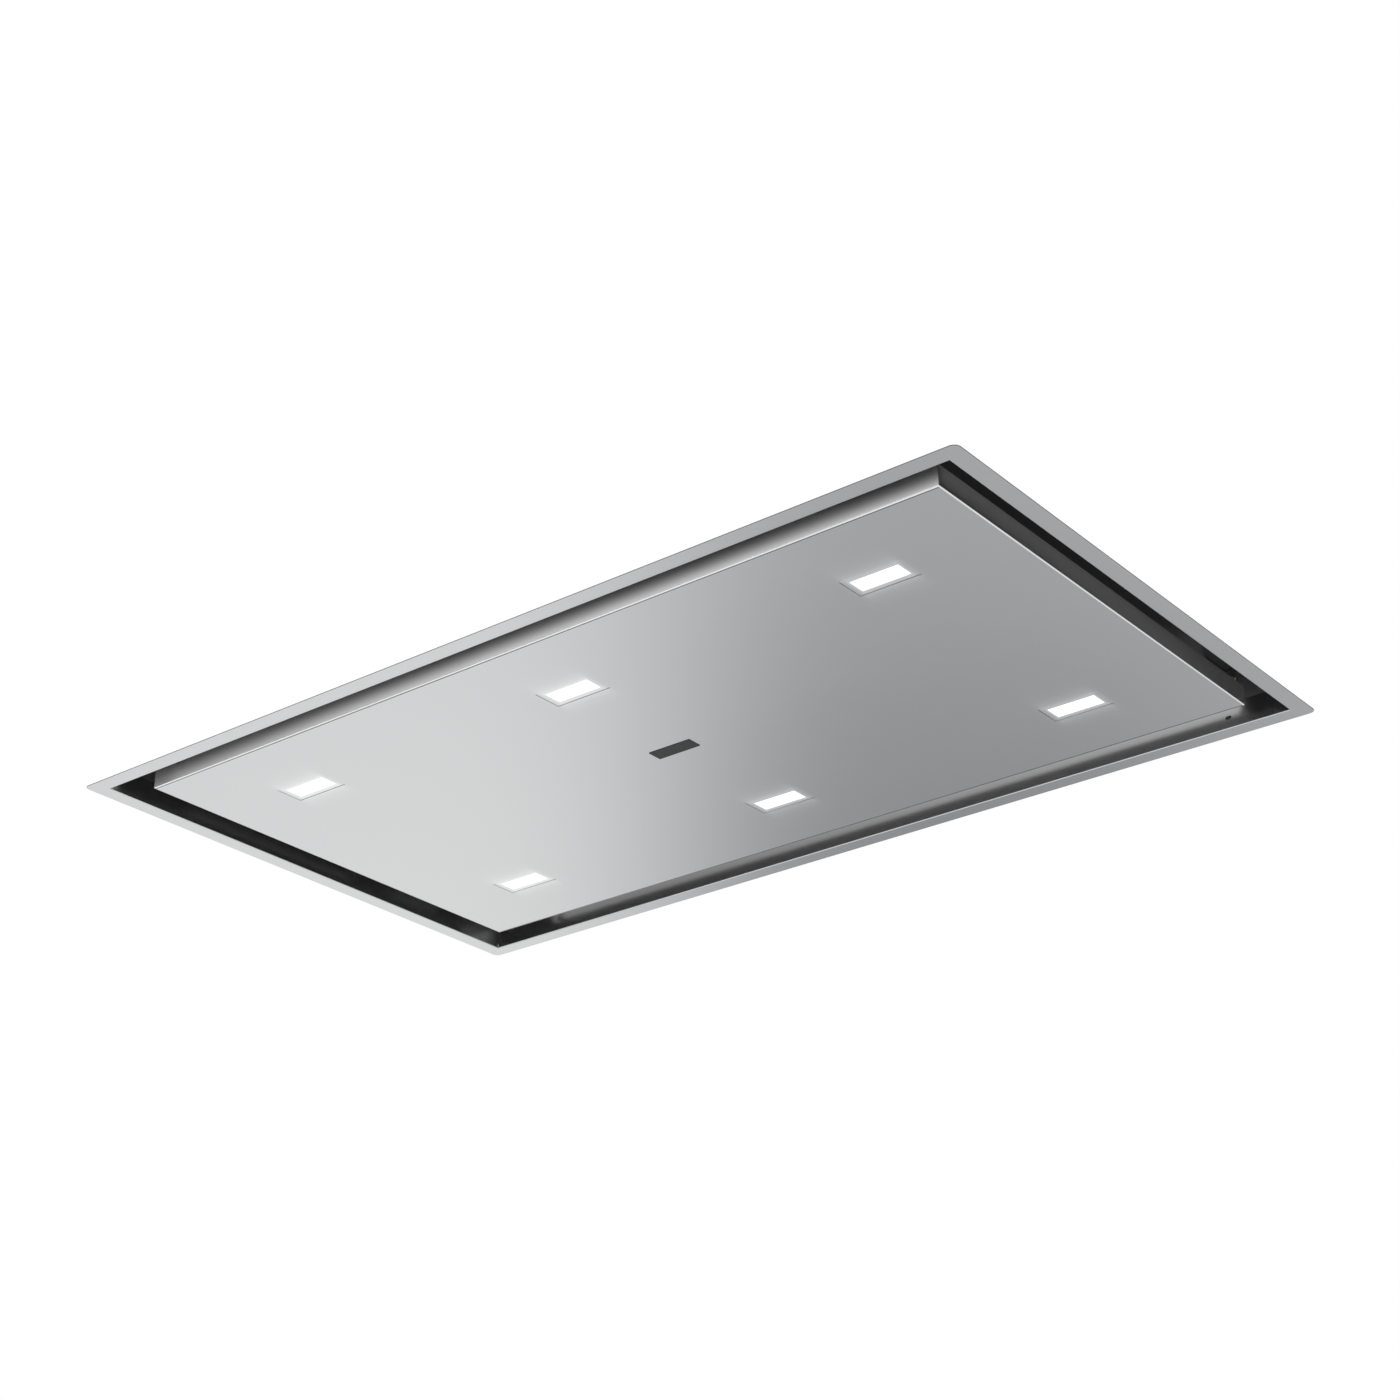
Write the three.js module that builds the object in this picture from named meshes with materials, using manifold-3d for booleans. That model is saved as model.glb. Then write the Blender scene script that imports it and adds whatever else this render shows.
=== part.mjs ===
// A flush ceiling range hood that draws air in through a slot round a hinged panel.
// Millimetres, +Z up. The origin is the centre of the trim frame's lower face.
// X runs along the long side, and the panel is hinged along its +Y edge.

import * as THREE from 'three';
import { mergeVertices } from 'three/addons/utils/BufferGeometryUtils.js';
import Module from 'manifold-3d';

const wasm = await Module();
wasm.setup();

// ---------------------------------------------------------------- driving dimensions

const seat = 0.3; // gap between a piece and what carries it

// trim frame, the flange that shows round the ceiling cut-out
const trimLength = 1200;
const trimWidth = 700;
const trimCorner = 8;
const flangeWidth = 21;
const trimSheet = 1.2;
const upstandHeight = 30;
const wallSlotLength = 7;
const wallSlotHeight = 4;
const wallSlotRise = 11;

// canopy, the box above the ceiling
const canopySheet = 1.2;
const canopyBottom = 6;
const canopyTop = 110;

// hinged panel
const slotWidth = 35;
const panelRecess = 3;
const skirtHeight = 24;
const panelSheet = 1;
const bendRadius = 2;
const backSheet = 0.8;
const backLip = 8;
const backDrop = 0.3; // how far the back cover lies below the skirt's edge

// blank plate at the middle of the panel
const badgeLength = 58;
const badgeWidth = 20;
const badgeThickness = 0.6;
const badgeX = -7;
const badgeY = -3;

// lamps, three along each long side
const lampFromEnd = 144;
const lampFromSide = 111;
const lampLength = 74;
const lampWidth = 37;
const lampFaceThickness = 1.5;
const lampBodyDepth = 16;
const lampBodyInset = 3.5;
const lensLength = 59;
const lensWidth = 24;
const lensThickness = 2.5;
const lensRecess = 0.2;

// panel hinges
const hingeFromEnd = 38;
const hingeInset = 8; // from the panel's edge to the hinge axis
const hingeRise = 7; // from the skirt's edge up to the hinge axis
const hingePinRadius = 3;
const hingeEyeRadius = 6;
const armThickness = 3;
const armHalfWidth = 5;
const armRise = 12; // from the hinge axis up to the arm's lower edge
const armDepth = 23;
const armFootLength = 34;
const armFootThickness = 2;
const leafThickness = 1.5;
const leafLength = 40;
const leafSetback = 8; // from the hinge axis back to the leaf's plate
const leafDepth = 28;
const pinHeadRadius = 4.5;
const pinHeadLength = 1.5;

// magnetic catches along the near edge of the panel
const catchFromEnd = 94;
const catchFromSide = 22;
const catchLength = 36;
const catchWidth = 14;
const strikeLength = 40;
const strikeWidth = 18;
const strikeThickness = 1.2;

// filter carrier
const carrierHeight = 70;
const carrierSheet = 1.2;
const carrierRim = 14;

// grease filters
const filterCount = 3;
const filterPitch = 335;
const filterLength = 316;
const filterDepth = 276;
const filterThickness = 9.4;
const filterBorder = 14;
const filterFrontBorder = 36;
const filterOverlap = 8;
const filterSkin = 1.2;
const meshThickness = 5;
const meshGroove = 5;
const railLength = 200;
const railReach = 8;
const railPlay = 1;

// filter latches
const latchLength = 52;
const latchDepth = 24;
const latchThickness = 3;
const latchThrow = 5;
const latchTravel = 5.5;
const gripLength = 34;
const gripDepth = 6;
const gripDrop = 7;
const keeperLength = 80;

// blower housing
const blowerLength = 410;
const blowerWidth = 410;
const blowerTop = 300;
const blowerSheet = 1.2;
const blowerFlange = 20;

// scroll round the fan
const scrollWall = 2.5;
const scrollHeight = 168;
const scrollTongue = 126;
const scrollEnd = 190;
const scrollTongueAngle = -35;
const scrollEndAngle = 270;
const scrollSteps = 28;
const mouthX = 202;
const mouthWidth = 164;

// fan wheel, its motor and its inlet
const wheelRadius = 115;
const wheelDepth = 18;
const wheelBottomGap = 8;
const wheelHeight = 140;
const wheelPlate = 2;
const bladeCount = 44;
const bladeThickness = 1.2;
const bladeSweep = 9;
const dishRadius = 62;
const hubRadius = 14;
const hubHeight = 24;
const motorRadius = 48;
const motorBody = 84;
const motorFlangeRadius = 70;
const motorFlange = 3;
const motorCap = 9;
const motorCapRadius = 36;
const motorHoleRadius = 52;
const shaftRadius = 4;
const shaftLength = 44;
const shaftSocket = 18;
const dishClearance = 6;
const inletThroat = 88;
const inletHoleRadius = 104;
const inletFlangeRadius = 122;
const inletRise = 8;
const inletWall = 1.3;

// outlet collar and its two non-return flaps
const outletY = -108;
const collarRadius = 74.5;
const collarWall = 2;
const collarPlate = 160;
const collarPlateThickness = 2;
const collarLength = 57;
const flapSetback = 22; // from the collar's end back to the flap pin
const flapThickness = 1.2;
const flapEdgeGap = 1.2;
const flapPinRadius = 2;
const flapBarrelRadius = 4.4;

// control box, its lid, board and cable gland
const controlFromEnd = 152;
const controlFromSide = 272;
const controlLength = 180;
const controlWidth = 130;
const controlHeight = 48;
const controlSheet = 1;
const controlLidLip = 8;
const boardLength = 150;
const boardWidth = 100;
const boardThickness = 1.6;
const boardStand = 8;
const boardPostRadius = 3;
const boardPostInset = 8;
const glandY = 30;
const glandRise = 24;
const glandThreadRadius = 9;
const glandNutRadius = 13;
const glandNutLength = 9;
const glandDomeRadius = 10.5;
const glandLength = 26;
const glandBoreRadius = 4.5;

// lamp driver
const driverFromEnd = 152;
const driverFromSide = 162;
const driverLength = 150;
const driverWidth = 42;
const driverHeight = 28;
const driverCorner = 4;
const driverEar = 16;
const driverEarThickness = 4;

// hanger brackets
const hangerFromEnd = 102;
const hangerFromSide = 70;
const hangerLength = 60;
const hangerFoot = 32;
const hangerRise = 34;
const hangerPlate = 2.5;
const hangerSlotLength = 22;
const hangerSlotWidth = 9;

// number of flats round each circle
const roundSteps = 40;
const smallRoundSteps = 16;

// ---------------------------------------------------------------- places that follow

const openingX = trimLength / 2 - flangeWidth;
const openingY = trimWidth / 2 - flangeWidth;
const canopyInnerX = openingX + trimSheet + seat;
const canopyInnerY = openingY + trimSheet + seat;
const canopyOuterX = canopyInnerX + canopySheet;
const canopyOuterY = canopyInnerY + canopySheet;
const canopyUnderside = canopyTop - canopySheet;
const onCanopy = canopyTop + seat;

const panelX = openingX - slotWidth;
const panelY = openingY - slotWidth;
const skirtTop = panelRecess + skirtHeight;
const backTop = skirtTop - backDrop;
const hingeX = panelX - hingeFromEnd;
const hingeAxisY = panelY - hingeInset;
const hingeAxisZ = skirtTop + hingeRise;

const filterTop = carrierHeight - seat;
const filterBottom = filterTop - filterThickness;
const filterFront = -filterDepth / 2;
const latchBottom = filterBottom + filterSkin + seat;
const keeperTop = latchBottom - seat;

const scrollBottom = onCanopy;
const scrollTop = scrollBottom + scrollHeight;
const wheelBottom = scrollBottom + scrollWall + wheelBottomGap;
const wheelTop = wheelBottom + wheelHeight;
const motorSeat = scrollTop + seat;
const motorEnd = motorSeat - motorBody;
const dishFloor = motorEnd - dishClearance;
const outletZ = scrollBottom + scrollHeight / 2;
const outletX = blowerLength / 2 + seat;
const collarEnd = outletX + collarLength;
const flapX = collarEnd - flapSetback;
const collarBore = collarRadius - collarWall;

// ---------------------------------------------------------------- materials

function finish(color, roughness, metalness) {
  return () => new THREE.MeshStandardMaterial({ color, roughness, metalness });
}

const brushedSteel = finish(0xc4c6c8, 0.3, 1);
const galvanisedSteel = finish(0x9ea2a5, 0.5, 0.9);
const filterAluminium = finish(0xb9bcbf, 0.4, 1);
const zincSteel = finish(0xa8a9a6, 0.4, 1);
const darkPlate = finish(0x33373a, 0.5, 0.6);
const opalPlastic = finish(0xffffff, 0.4, 0);
const blackPlastic = finish(0x1c1d1f, 0.55, 0);
const greyPlastic = finish(0x6d7073, 0.55, 0);
const motorMetal = finish(0x7e8285, 0.45, 0.8);
const boardGreen = finish(0x1f5a3c, 0.6, 0);

// ---------------------------------------------------------------- shape helpers

function solid(geometry) {
  const bare = geometry.clone();
  bare.deleteAttribute('normal');
  bare.deleteAttribute('uv');
  const merged = mergeVertices(bare, 1e-4);
  const vertProperties = new Float32Array(merged.attributes.position.array);
  const triVerts = new Uint32Array(merged.index.array);
  return new wasm.Manifold(new wasm.Mesh({ numProp: 3, vertProperties, triVerts }));
}

function shapeOf(manifold) {
  const mesh = manifold.getMesh();
  const geometry = new THREE.BufferGeometry();
  geometry.setAttribute('position', new THREE.BufferAttribute(mesh.vertProperties, 3));
  geometry.setIndex(new THREE.BufferAttribute(mesh.triVerts, 1));
  const flat = geometry.toNonIndexed();
  flat.computeVertexNormals();
  return flat;
}

function joined(...geometries) {
  return shapeOf(geometries.map(solid).reduce((whole, piece) => whole.add(piece)));
}

function cut(base, ...tools) {
  return shapeOf(tools.map(solid).reduce((rest, tool) => rest.subtract(tool), solid(base)));
}

function overlapOf(first, second) {
  return shapeOf(solid(first).intersect(solid(second)));
}

function box(x0, x1, y0, y1, z0, z1) {
  const geometry = new THREE.BoxGeometry(x1 - x0, y1 - y0, z1 - z0);
  return geometry.translate((x0 + x1) / 2, (y0 + y1) / 2, (z0 + z1) / 2);
}

function centredBox(halfX, halfY, z0, z1) {
  return box(-halfX, halfX, -halfY, halfY, z0, z1);
}

function outline(points) {
  return new THREE.Shape(points.map(([x, y]) => new THREE.Vector2(x, y)));
}

function roundedRectangle(halfX, halfY, radius) {
  const shape = new THREE.Shape();
  shape.absarc(halfX - radius, halfY - radius, radius, 0, Math.PI / 2);
  shape.absarc(radius - halfX, halfY - radius, radius, Math.PI / 2, Math.PI);
  shape.absarc(radius - halfX, radius - halfY, radius, Math.PI, Math.PI * 1.5);
  shape.absarc(halfX - radius, radius - halfY, radius, Math.PI * 1.5, Math.PI * 2);
  return shape;
}

// the outline lies in XY and is pulled up along Z
function pulledUp(shape, z0, z1, curveSegments = 6) {
  const settings = { depth: z1 - z0, bevelEnabled: false, curveSegments };
  return new THREE.ExtrudeGeometry(shape, settings).translate(0, 0, z0);
}

// the outline lies in YZ and is pulled along X
function pulledAlongX(shape, x0, x1, curveSegments = 6) {
  const turn = new THREE.Matrix4().makeBasis(
    new THREE.Vector3(0, 1, 0),
    new THREE.Vector3(0, 0, 1),
    new THREE.Vector3(1, 0, 0),
  );
  return pulledUp(shape, x0, x1, curveSegments).applyMatrix4(turn);
}

// the outline lies in XZ and is pulled along Y
function pulledAlongY(shape, y0, y1, curveSegments = 6) {
  const turn = new THREE.Matrix4().makeBasis(
    new THREE.Vector3(1, 0, 0),
    new THREE.Vector3(0, 0, 1),
    new THREE.Vector3(0, -1, 0),
  );
  return pulledUp(shape, -y1, -y0, curveSegments).applyMatrix4(turn);
}

function postZ(radius, x, y, z0, z1, steps = smallRoundSteps) {
  const geometry = new THREE.CylinderGeometry(radius, radius, z1 - z0, steps);
  return geometry.rotateX(Math.PI / 2).translate(x, y, (z0 + z1) / 2);
}

function postX(radius, x0, x1, y, z, steps = smallRoundSteps) {
  const geometry = new THREE.CylinderGeometry(radius, radius, x1 - x0, steps);
  return geometry.rotateZ(-Math.PI / 2).translate((x0 + x1) / 2, y, z);
}

// a closed profile of [radius, height] points turned about Z
function turned(profile, steps = roundSteps) {
  const points = profile.map(([radius, height]) => new THREE.Vector2(radius, height));
  points.push(points[0].clone());
  return new THREE.LatheGeometry(points, steps).rotateX(Math.PI / 2);
}

const hood = new THREE.Group();

function place(name, geometry, material, x = 0, y = 0, z = 0, parent = hood) {
  const mesh = new THREE.Mesh(geometry, material());
  mesh.name = name;
  mesh.position.set(x, y, z);
  parent.add(mesh);
  return mesh;
}

// ---------------------------------------------------------------- trim frame

function trimFrameShape() {
  const flangeOutline = roundedRectangle(trimLength / 2, trimWidth / 2, trimCorner);
  const flange = pulledUp(flangeOutline, 0, trimSheet);
  const upstand = centredBox(openingX + trimSheet, openingY + trimSheet, 0, upstandHeight);
  const way = centredBox(openingX, openingY, -1, upstandHeight + 1);
  const wallSlot = box(
    hingeX - wallSlotLength / 2,
    hingeX + wallSlotLength / 2,
    openingY - 1,
    openingY + trimSheet + 1,
    wallSlotRise,
    wallSlotRise + wallSlotHeight,
  );
  const frame = solid(flange).add(solid(upstand)).subtract(solid(way));
  return shapeOf(frame.subtract(solid(wallSlot)));
}

place('trim_frame', trimFrameShape(), brushedSteel);

// ---------------------------------------------------------------- canopy

function canopyShape() {
  const outer = centredBox(canopyOuterX, canopyOuterY, canopyBottom, canopyTop);
  const inner = centredBox(canopyInnerX, canopyInnerY, 0, canopyUnderside);
  const inlet = postZ(inletHoleRadius, 0, 0, 0, canopyTop + 1, roundSteps);
  return cut(outer, inner, inlet);
}

place('canopy_body', canopyShape(), galvanisedSteel);

// ---------------------------------------------------------------- hinged panel

// a tray with sharp upright corners and rolled lower edges, open on top
function traySolid(halfX, halfY, floor, top, radius) {
  const profile = (half) => {
    const shape = new THREE.Shape();
    shape.moveTo(half, top);
    shape.lineTo(-half, top);
    shape.absarc(radius - half, floor + radius, radius, Math.PI, Math.PI * 1.5);
    shape.absarc(half - radius, floor + radius, radius, Math.PI * 1.5, Math.PI * 2);
    return shape;
  };
  const along = pulledAlongY(profile(halfX), -halfY, halfY, 3);
  const across = pulledAlongX(profile(halfY), -halfX, halfX, 3);
  return overlapOf(along, across);
}

function lampPlaces() {
  const pitch = panelX - lampFromEnd;
  const rowY = panelY - lampFromSide;
  const places = [];
  for (const row of [-1, 1]) {
    for (const column of [-1, 0, 1]) {
      places.push([column * pitch, row * rowY]);
    }
  }
  return places;
}

function panelSkinShape() {
  const outer = traySolid(panelX, panelY, panelRecess, skirtTop, bendRadius);
  const inner = traySolid(
    panelX - panelSheet,
    panelY - panelSheet,
    panelRecess + panelSheet,
    skirtTop + 1,
    bendRadius - panelSheet,
  );
  const lampHoles = lampPlaces().map(([x, y]) => {
    const hole = centredBox(lampLength / 2, lampWidth / 2, 0, panelRecess + panelSheet + 1);
    return hole.translate(x, y, 0);
  });
  return cut(outer, inner, ...lampHoles);
}

function panelBackShape() {
  const halfX = panelX - panelSheet - seat;
  const halfY = panelY - panelSheet - seat;
  const cover = centredBox(halfX, halfY, backTop - backLip, backTop);
  const hollow = centredBox(halfX - backSheet, halfY - backSheet, 0, backTop - backSheet);
  return cut(cover, hollow);
}

function badgeShape() {
  return centredBox(badgeLength / 2, badgeWidth / 2, panelRecess - badgeThickness, panelRecess);
}

place('panel_skin', panelSkinShape(), brushedSteel);
place('panel_back', panelBackShape(), brushedSteel);
place('badge_plate', badgeShape(), darkPlate, badgeX, badgeY);

// ---------------------------------------------------------------- lamps

function lampHousingShape() {
  const faceX = lampLength / 2 - seat;
  const faceY = lampWidth / 2 - seat;
  const face = centredBox(faceX, faceY, panelRecess, panelRecess + lampFaceThickness);
  const body = centredBox(
    faceX - lampBodyInset,
    faceY - lampBodyInset,
    panelRecess,
    panelRecess + lampBodyDepth,
  );
  const pocket = centredBox(
    lensLength / 2 + seat,
    lensWidth / 2 + seat,
    0,
    panelRecess + lensRecess + lensThickness + seat,
  );
  return shapeOf(solid(face).add(solid(body)).subtract(solid(pocket)));
}

function lampLensShape() {
  const face = panelRecess + lensRecess;
  return centredBox(lensLength / 2, lensWidth / 2, face, face + lensThickness);
}

lampPlaces().forEach(([x, y], index) => {
  place(`lamp_housing_${index + 1}`, lampHousingShape(), brushedSteel, x, y);
  place(`lamp_lens_${index + 1}`, lampLensShape(), opalPlastic, x, y);
});

// ---------------------------------------------------------------- panel hinges

// the arm comes out from the canopy wall above the panel's sweep and down to the pin
function hingeArmShape() {
  const wallY = canopyInnerY - seat;
  const lower = hingeAxisZ + armRise;
  const upper = lower + armDepth;
  const side = new THREE.Shape();
  side.moveTo(wallY, lower);
  side.lineTo(wallY, upper);
  side.lineTo(hingeAxisY + armHalfWidth, upper);
  side.lineTo(hingeAxisY - armHalfWidth, lower);
  side.lineTo(hingeAxisY - armHalfWidth, hingeAxisZ);
  side.absarc(hingeAxisY, hingeAxisZ, hingeEyeRadius, Math.PI, Math.PI * 2);
  side.lineTo(hingeAxisY + armHalfWidth, hingeAxisZ);
  side.lineTo(hingeAxisY + armHalfWidth, lower);
  const half = armThickness / 2;
  const arm = pulledAlongX(side, -half, half);
  const footHalf = armFootLength / 2;
  const foot = box(-footHalf, footHalf, wallY - armFootThickness, wallY, lower, upper);
  const bore = postX(hingePinRadius + seat, -armThickness, armThickness, hingeAxisY, hingeAxisZ);
  return shapeOf(solid(arm).add(solid(foot)).subtract(solid(bore)));
}

const earInner = armThickness / 2 + 2 * seat;
const earOuter = earInner + leafThickness;

// the leaf lies on the panel's back, with an ear on each side of the arm
function hingeLeafShape() {
  const plateEnd = hingeAxisY - leafSetback;
  const plateTop = backTop + leafThickness;
  const plate = box(-leafLength / 2, leafLength / 2, plateEnd - leafDepth, plateEnd, backTop, plateTop);
  const side = new THREE.Shape();
  side.moveTo(plateEnd - leafDepth + leafSetback, backTop);
  side.lineTo(hingeAxisY, backTop);
  side.absarc(hingeAxisY, hingeAxisZ, hingeEyeRadius, -Math.PI / 2, Math.PI / 2);
  const leftEar = pulledAlongX(side, -earOuter, -earInner);
  const rightEar = pulledAlongX(side, earInner, earOuter);
  const bore = postX(hingePinRadius + seat, -leafLength, leafLength, hingeAxisY, hingeAxisZ);
  const leaf = solid(plate).add(solid(leftEar)).add(solid(rightEar));
  return shapeOf(leaf.subtract(solid(bore)));
}

function hingePinShape() {
  const reach = earOuter + seat;
  const shank = postX(hingePinRadius, -reach - 1, reach + 1, hingeAxisY, hingeAxisZ);
  const heads = [-1, 1].map((side) => {
    const inner = side * reach;
    const outer = side * (reach + pinHeadLength);
    return postX(pinHeadRadius, Math.min(inner, outer), Math.max(inner, outer), hingeAxisY, hingeAxisZ);
  });
  return joined(shank, ...heads);
}

[-hingeX, hingeX].forEach((x, index) => {
  place(`hinge_arm_${index + 1}`, hingeArmShape(), zincSteel, x);
  place(`hinge_leaf_${index + 1}`, hingeLeafShape(), zincSteel, x);
  place(`hinge_pin_${index + 1}`, hingePinShape(), zincSteel, x);
});

// ---------------------------------------------------------------- magnetic catches

function catchShape() {
  const shoe = backTop + strikeThickness + seat;
  return centredBox(catchLength / 2, catchWidth / 2, shoe, carrierHeight - seat);
}

function strikeShape() {
  return centredBox(strikeLength / 2, strikeWidth / 2, backTop, backTop + strikeThickness);
}

[-1, 1].forEach((end, index) => {
  const x = end * (panelX - catchFromEnd);
  const y = catchFromSide - panelY;
  place(`magnet_catch_${index + 1}`, catchShape(), blackPlastic, x, y);
  place(`strike_plate_${index + 1}`, strikeShape(), zincSteel, x, y);
});

// ---------------------------------------------------------------- filter carrier

function filterPlaces() {
  const places = [];
  for (let index = 0; index < filterCount; index += 1) {
    places.push((index - (filterCount - 1) / 2) * filterPitch);
  }
  return places;
}

// the rear rail holds the filter's back edge from below
function rearRailShape() {
  const half = railLength / 2;
  const edge = filterDepth / 2;
  const web = edge + railPlay;
  const shelfTop = filterBottom - seat;
  const upright = box(-half, half, web, web + carrierSheet, shelfTop - carrierSheet, carrierHeight + 0.5);
  const shelf = box(-half, half, edge - railReach, web + carrierSheet, shelfTop - carrierSheet, shelfTop);
  return joined(upright, shelf);
}

// the keeper is the ledge that the latch's tongue lies on
function keeperShape() {
  const half = keeperLength / 2;
  const shelfInner = filterFront - railPlay;
  const web = filterFront - latchThrow - railPlay;
  const upright = box(-half, half, web - carrierSheet, web, keeperTop - carrierSheet, carrierHeight + 0.5);
  const shelf = box(-half, half, web - carrierSheet, shelfInner, keeperTop - carrierSheet, keeperTop);
  return joined(upright, shelf);
}

function carrierShape() {
  const halfX = canopyInnerX - seat;
  const halfY = canopyInnerY - seat;
  const plateTop = carrierHeight + carrierSheet;
  const tray = centredBox(halfX, halfY, carrierHeight, plateTop + carrierRim);
  const hollow = centredBox(halfX - carrierSheet, halfY - carrierSheet, plateTop, plateTop + carrierRim + 1);
  let carrier = solid(tray).subtract(solid(hollow));
  for (const x of filterPlaces()) {
    const wayX = filterLength / 2 - filterOverlap;
    const wayY = filterDepth / 2 - filterOverlap;
    const way = centredBox(wayX, wayY, carrierHeight - 1, plateTop + 1).translate(x, 0, 0);
    const rail = rearRailShape().translate(x, 0, 0);
    const keeper = keeperShape().translate(x, 0, 0);
    carrier = carrier.subtract(solid(way)).add(solid(rail)).add(solid(keeper));
  }
  return shapeOf(carrier);
}

place('filter_carrier', carrierShape(), galvanisedSteel);

// ---------------------------------------------------------------- grease filters

const meshHalfX = filterLength / 2 - filterBorder;
const meshBack = filterDepth / 2 - filterBorder;
const meshFront = filterFront + filterFrontBorder;
const meshBottom = filterBottom + (filterThickness - meshThickness) / 2;

function filterFrameShape() {
  const slab = centredBox(filterLength / 2, filterDepth / 2, filterBottom, filterTop);
  const way = box(-meshHalfX, meshHalfX, meshFront, meshBack, filterBottom - 1, filterTop + 1);
  const groove = box(
    -meshHalfX - meshGroove,
    meshHalfX + meshGroove,
    meshFront - meshGroove,
    meshBack + meshGroove,
    meshBottom - seat,
    meshBottom + meshThickness + seat,
  );
  const latchSlot = box(
    -latchLength / 2 - seat,
    latchLength / 2 + seat,
    filterFront - 1,
    filterFront + latchDepth + latchTravel + seat,
    latchBottom - seat,
    latchBottom + latchThickness + seat,
  );
  const gripWindow = box(
    -gripLength / 2 - seat,
    gripLength / 2 + seat,
    filterFront + latchDepth - gripDepth - seat,
    filterFront + latchDepth + latchTravel + seat,
    filterBottom - 1,
    latchBottom,
  );
  return cut(slab, way, groove, latchSlot, gripWindow);
}

function filterMeshShape() {
  const reach = meshGroove - seat;
  return box(
    -meshHalfX - reach,
    meshHalfX + reach,
    meshFront - reach,
    meshBack + reach,
    meshBottom,
    meshBottom + meshThickness,
  );
}

function latchShape() {
  const back = filterFront + latchDepth;
  const tongue = box(
    -latchLength / 2,
    latchLength / 2,
    filterFront - latchThrow,
    back,
    latchBottom,
    latchBottom + latchThickness,
  );
  const grip = box(
    -gripLength / 2,
    gripLength / 2,
    back - gripDepth,
    back,
    filterBottom - gripDrop,
    latchBottom + 1,
  );
  return joined(tongue, grip);
}

filterPlaces().forEach((x, index) => {
  place(`filter_frame_${index + 1}`, filterFrameShape(), filterAluminium, x);
  place(`filter_mesh_${index + 1}`, filterMeshShape(), filterAluminium, x);
  place(`filter_latch_${index + 1}`, latchShape(), blackPlastic, x);
});

// ---------------------------------------------------------------- blower housing

function blowerHousingShape() {
  const halfX = blowerLength / 2;
  const halfY = blowerWidth / 2;
  const shell = centredBox(halfX, halfY, onCanopy, blowerTop);
  const foot = centredBox(halfX + blowerFlange, halfY + blowerFlange, onCanopy, onCanopy + blowerSheet);
  const inner = centredBox(halfX - blowerSheet, halfY - blowerSheet, 0, blowerTop - blowerSheet);
  const outlet = postX(collarBore, 0, halfX + 1, outletY, outletZ, roundSteps);
  const whole = solid(shell).add(solid(foot));
  return shapeOf(whole.subtract(solid(inner)).subtract(solid(outlet)));
}

place('blower_housing', blowerHousingShape(), galvanisedSteel);

// ---------------------------------------------------------------- scroll

function scrollRadius(step) {
  return scrollTongue + (scrollEnd - scrollTongue) * (step / scrollSteps);
}

function scrollAngle(step) {
  const degrees = scrollTongueAngle + (scrollEndAngle - scrollTongueAngle) * (step / scrollSteps);
  return THREE.MathUtils.degToRad(degrees);
}

// the spiral and its straight mouth, moved outwards by the wall's thickness
function scrollOutline(wall, mouthEnd) {
  const start = scrollAngle(0);
  const tip = new THREE.Vector2(Math.cos(start), Math.sin(start)).multiplyScalar(scrollTongue);
  const mouthInner = new THREE.Vector2(mouthX, mouthWidth - scrollEnd);
  const alongSpiral = new THREE.Vector2(-Math.sin(start), Math.cos(start));
  const alongMouth = mouthInner.clone().sub(tip).normalize();
  const halfAngle = Math.acos(alongSpiral.dot(alongMouth)) / 2;
  const middle = alongSpiral.clone().add(alongMouth).normalize();
  tip.addScaledVector(middle, wall / Math.sin(halfAngle));
  const innerEnd = mouthInner.y + wall / alongMouth.x + alongMouth.y * (mouthEnd - mouthX);
  const points = [[mouthEnd, -scrollEnd - wall], [mouthEnd, innerEnd], [tip.x, tip.y]];
  for (let step = wall > 0 ? 2 : 1; step <= scrollSteps; step += 1) {
    const radius = scrollRadius(step) + wall;
    points.push([radius * Math.cos(scrollAngle(step)), radius * Math.sin(scrollAngle(step))]);
  }
  return outline(points);
}

function scrollShape() {
  const outer = pulledUp(scrollOutline(scrollWall, mouthX), scrollBottom, scrollTop);
  const innerOutline = scrollOutline(0, mouthX + 1);
  const inner = pulledUp(innerOutline, scrollBottom + scrollWall, scrollTop - scrollWall);
  const inlet = postZ(inletHoleRadius, 0, 0, 0, scrollBottom + scrollWall + 1, roundSteps);
  const motorHole = postZ(motorHoleRadius, 0, 0, scrollTop - scrollWall - 1, scrollTop + 1, roundSteps);
  return cut(outer, inner, inlet, motorHole);
}

place('scroll_housing', scrollShape(), blackPlastic);

// ---------------------------------------------------------------- fan inlet, wheel and motor

// a flange under the canopy's top and a throat that narrows on its way up
function inletRingShape() {
  const flangeTop = canopyUnderside - seat;
  const flangeBottom = flangeTop - inletWall;
  const throatTop = scrollBottom + scrollWall + inletRise - 2;
  const lip = inletHoleRadius - 2;
  return turned([
    [inletFlangeRadius, flangeBottom],
    [inletFlangeRadius, flangeTop],
    [lip, flangeTop],
    [inletThroat + 6, flangeTop + 4],
    [inletThroat + inletWall, throatTop],
    [inletThroat, throatTop],
    [inletThroat + 6 - inletWall, flangeTop + 3],
    [lip - 2, flangeBottom],
  ]);
}

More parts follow.
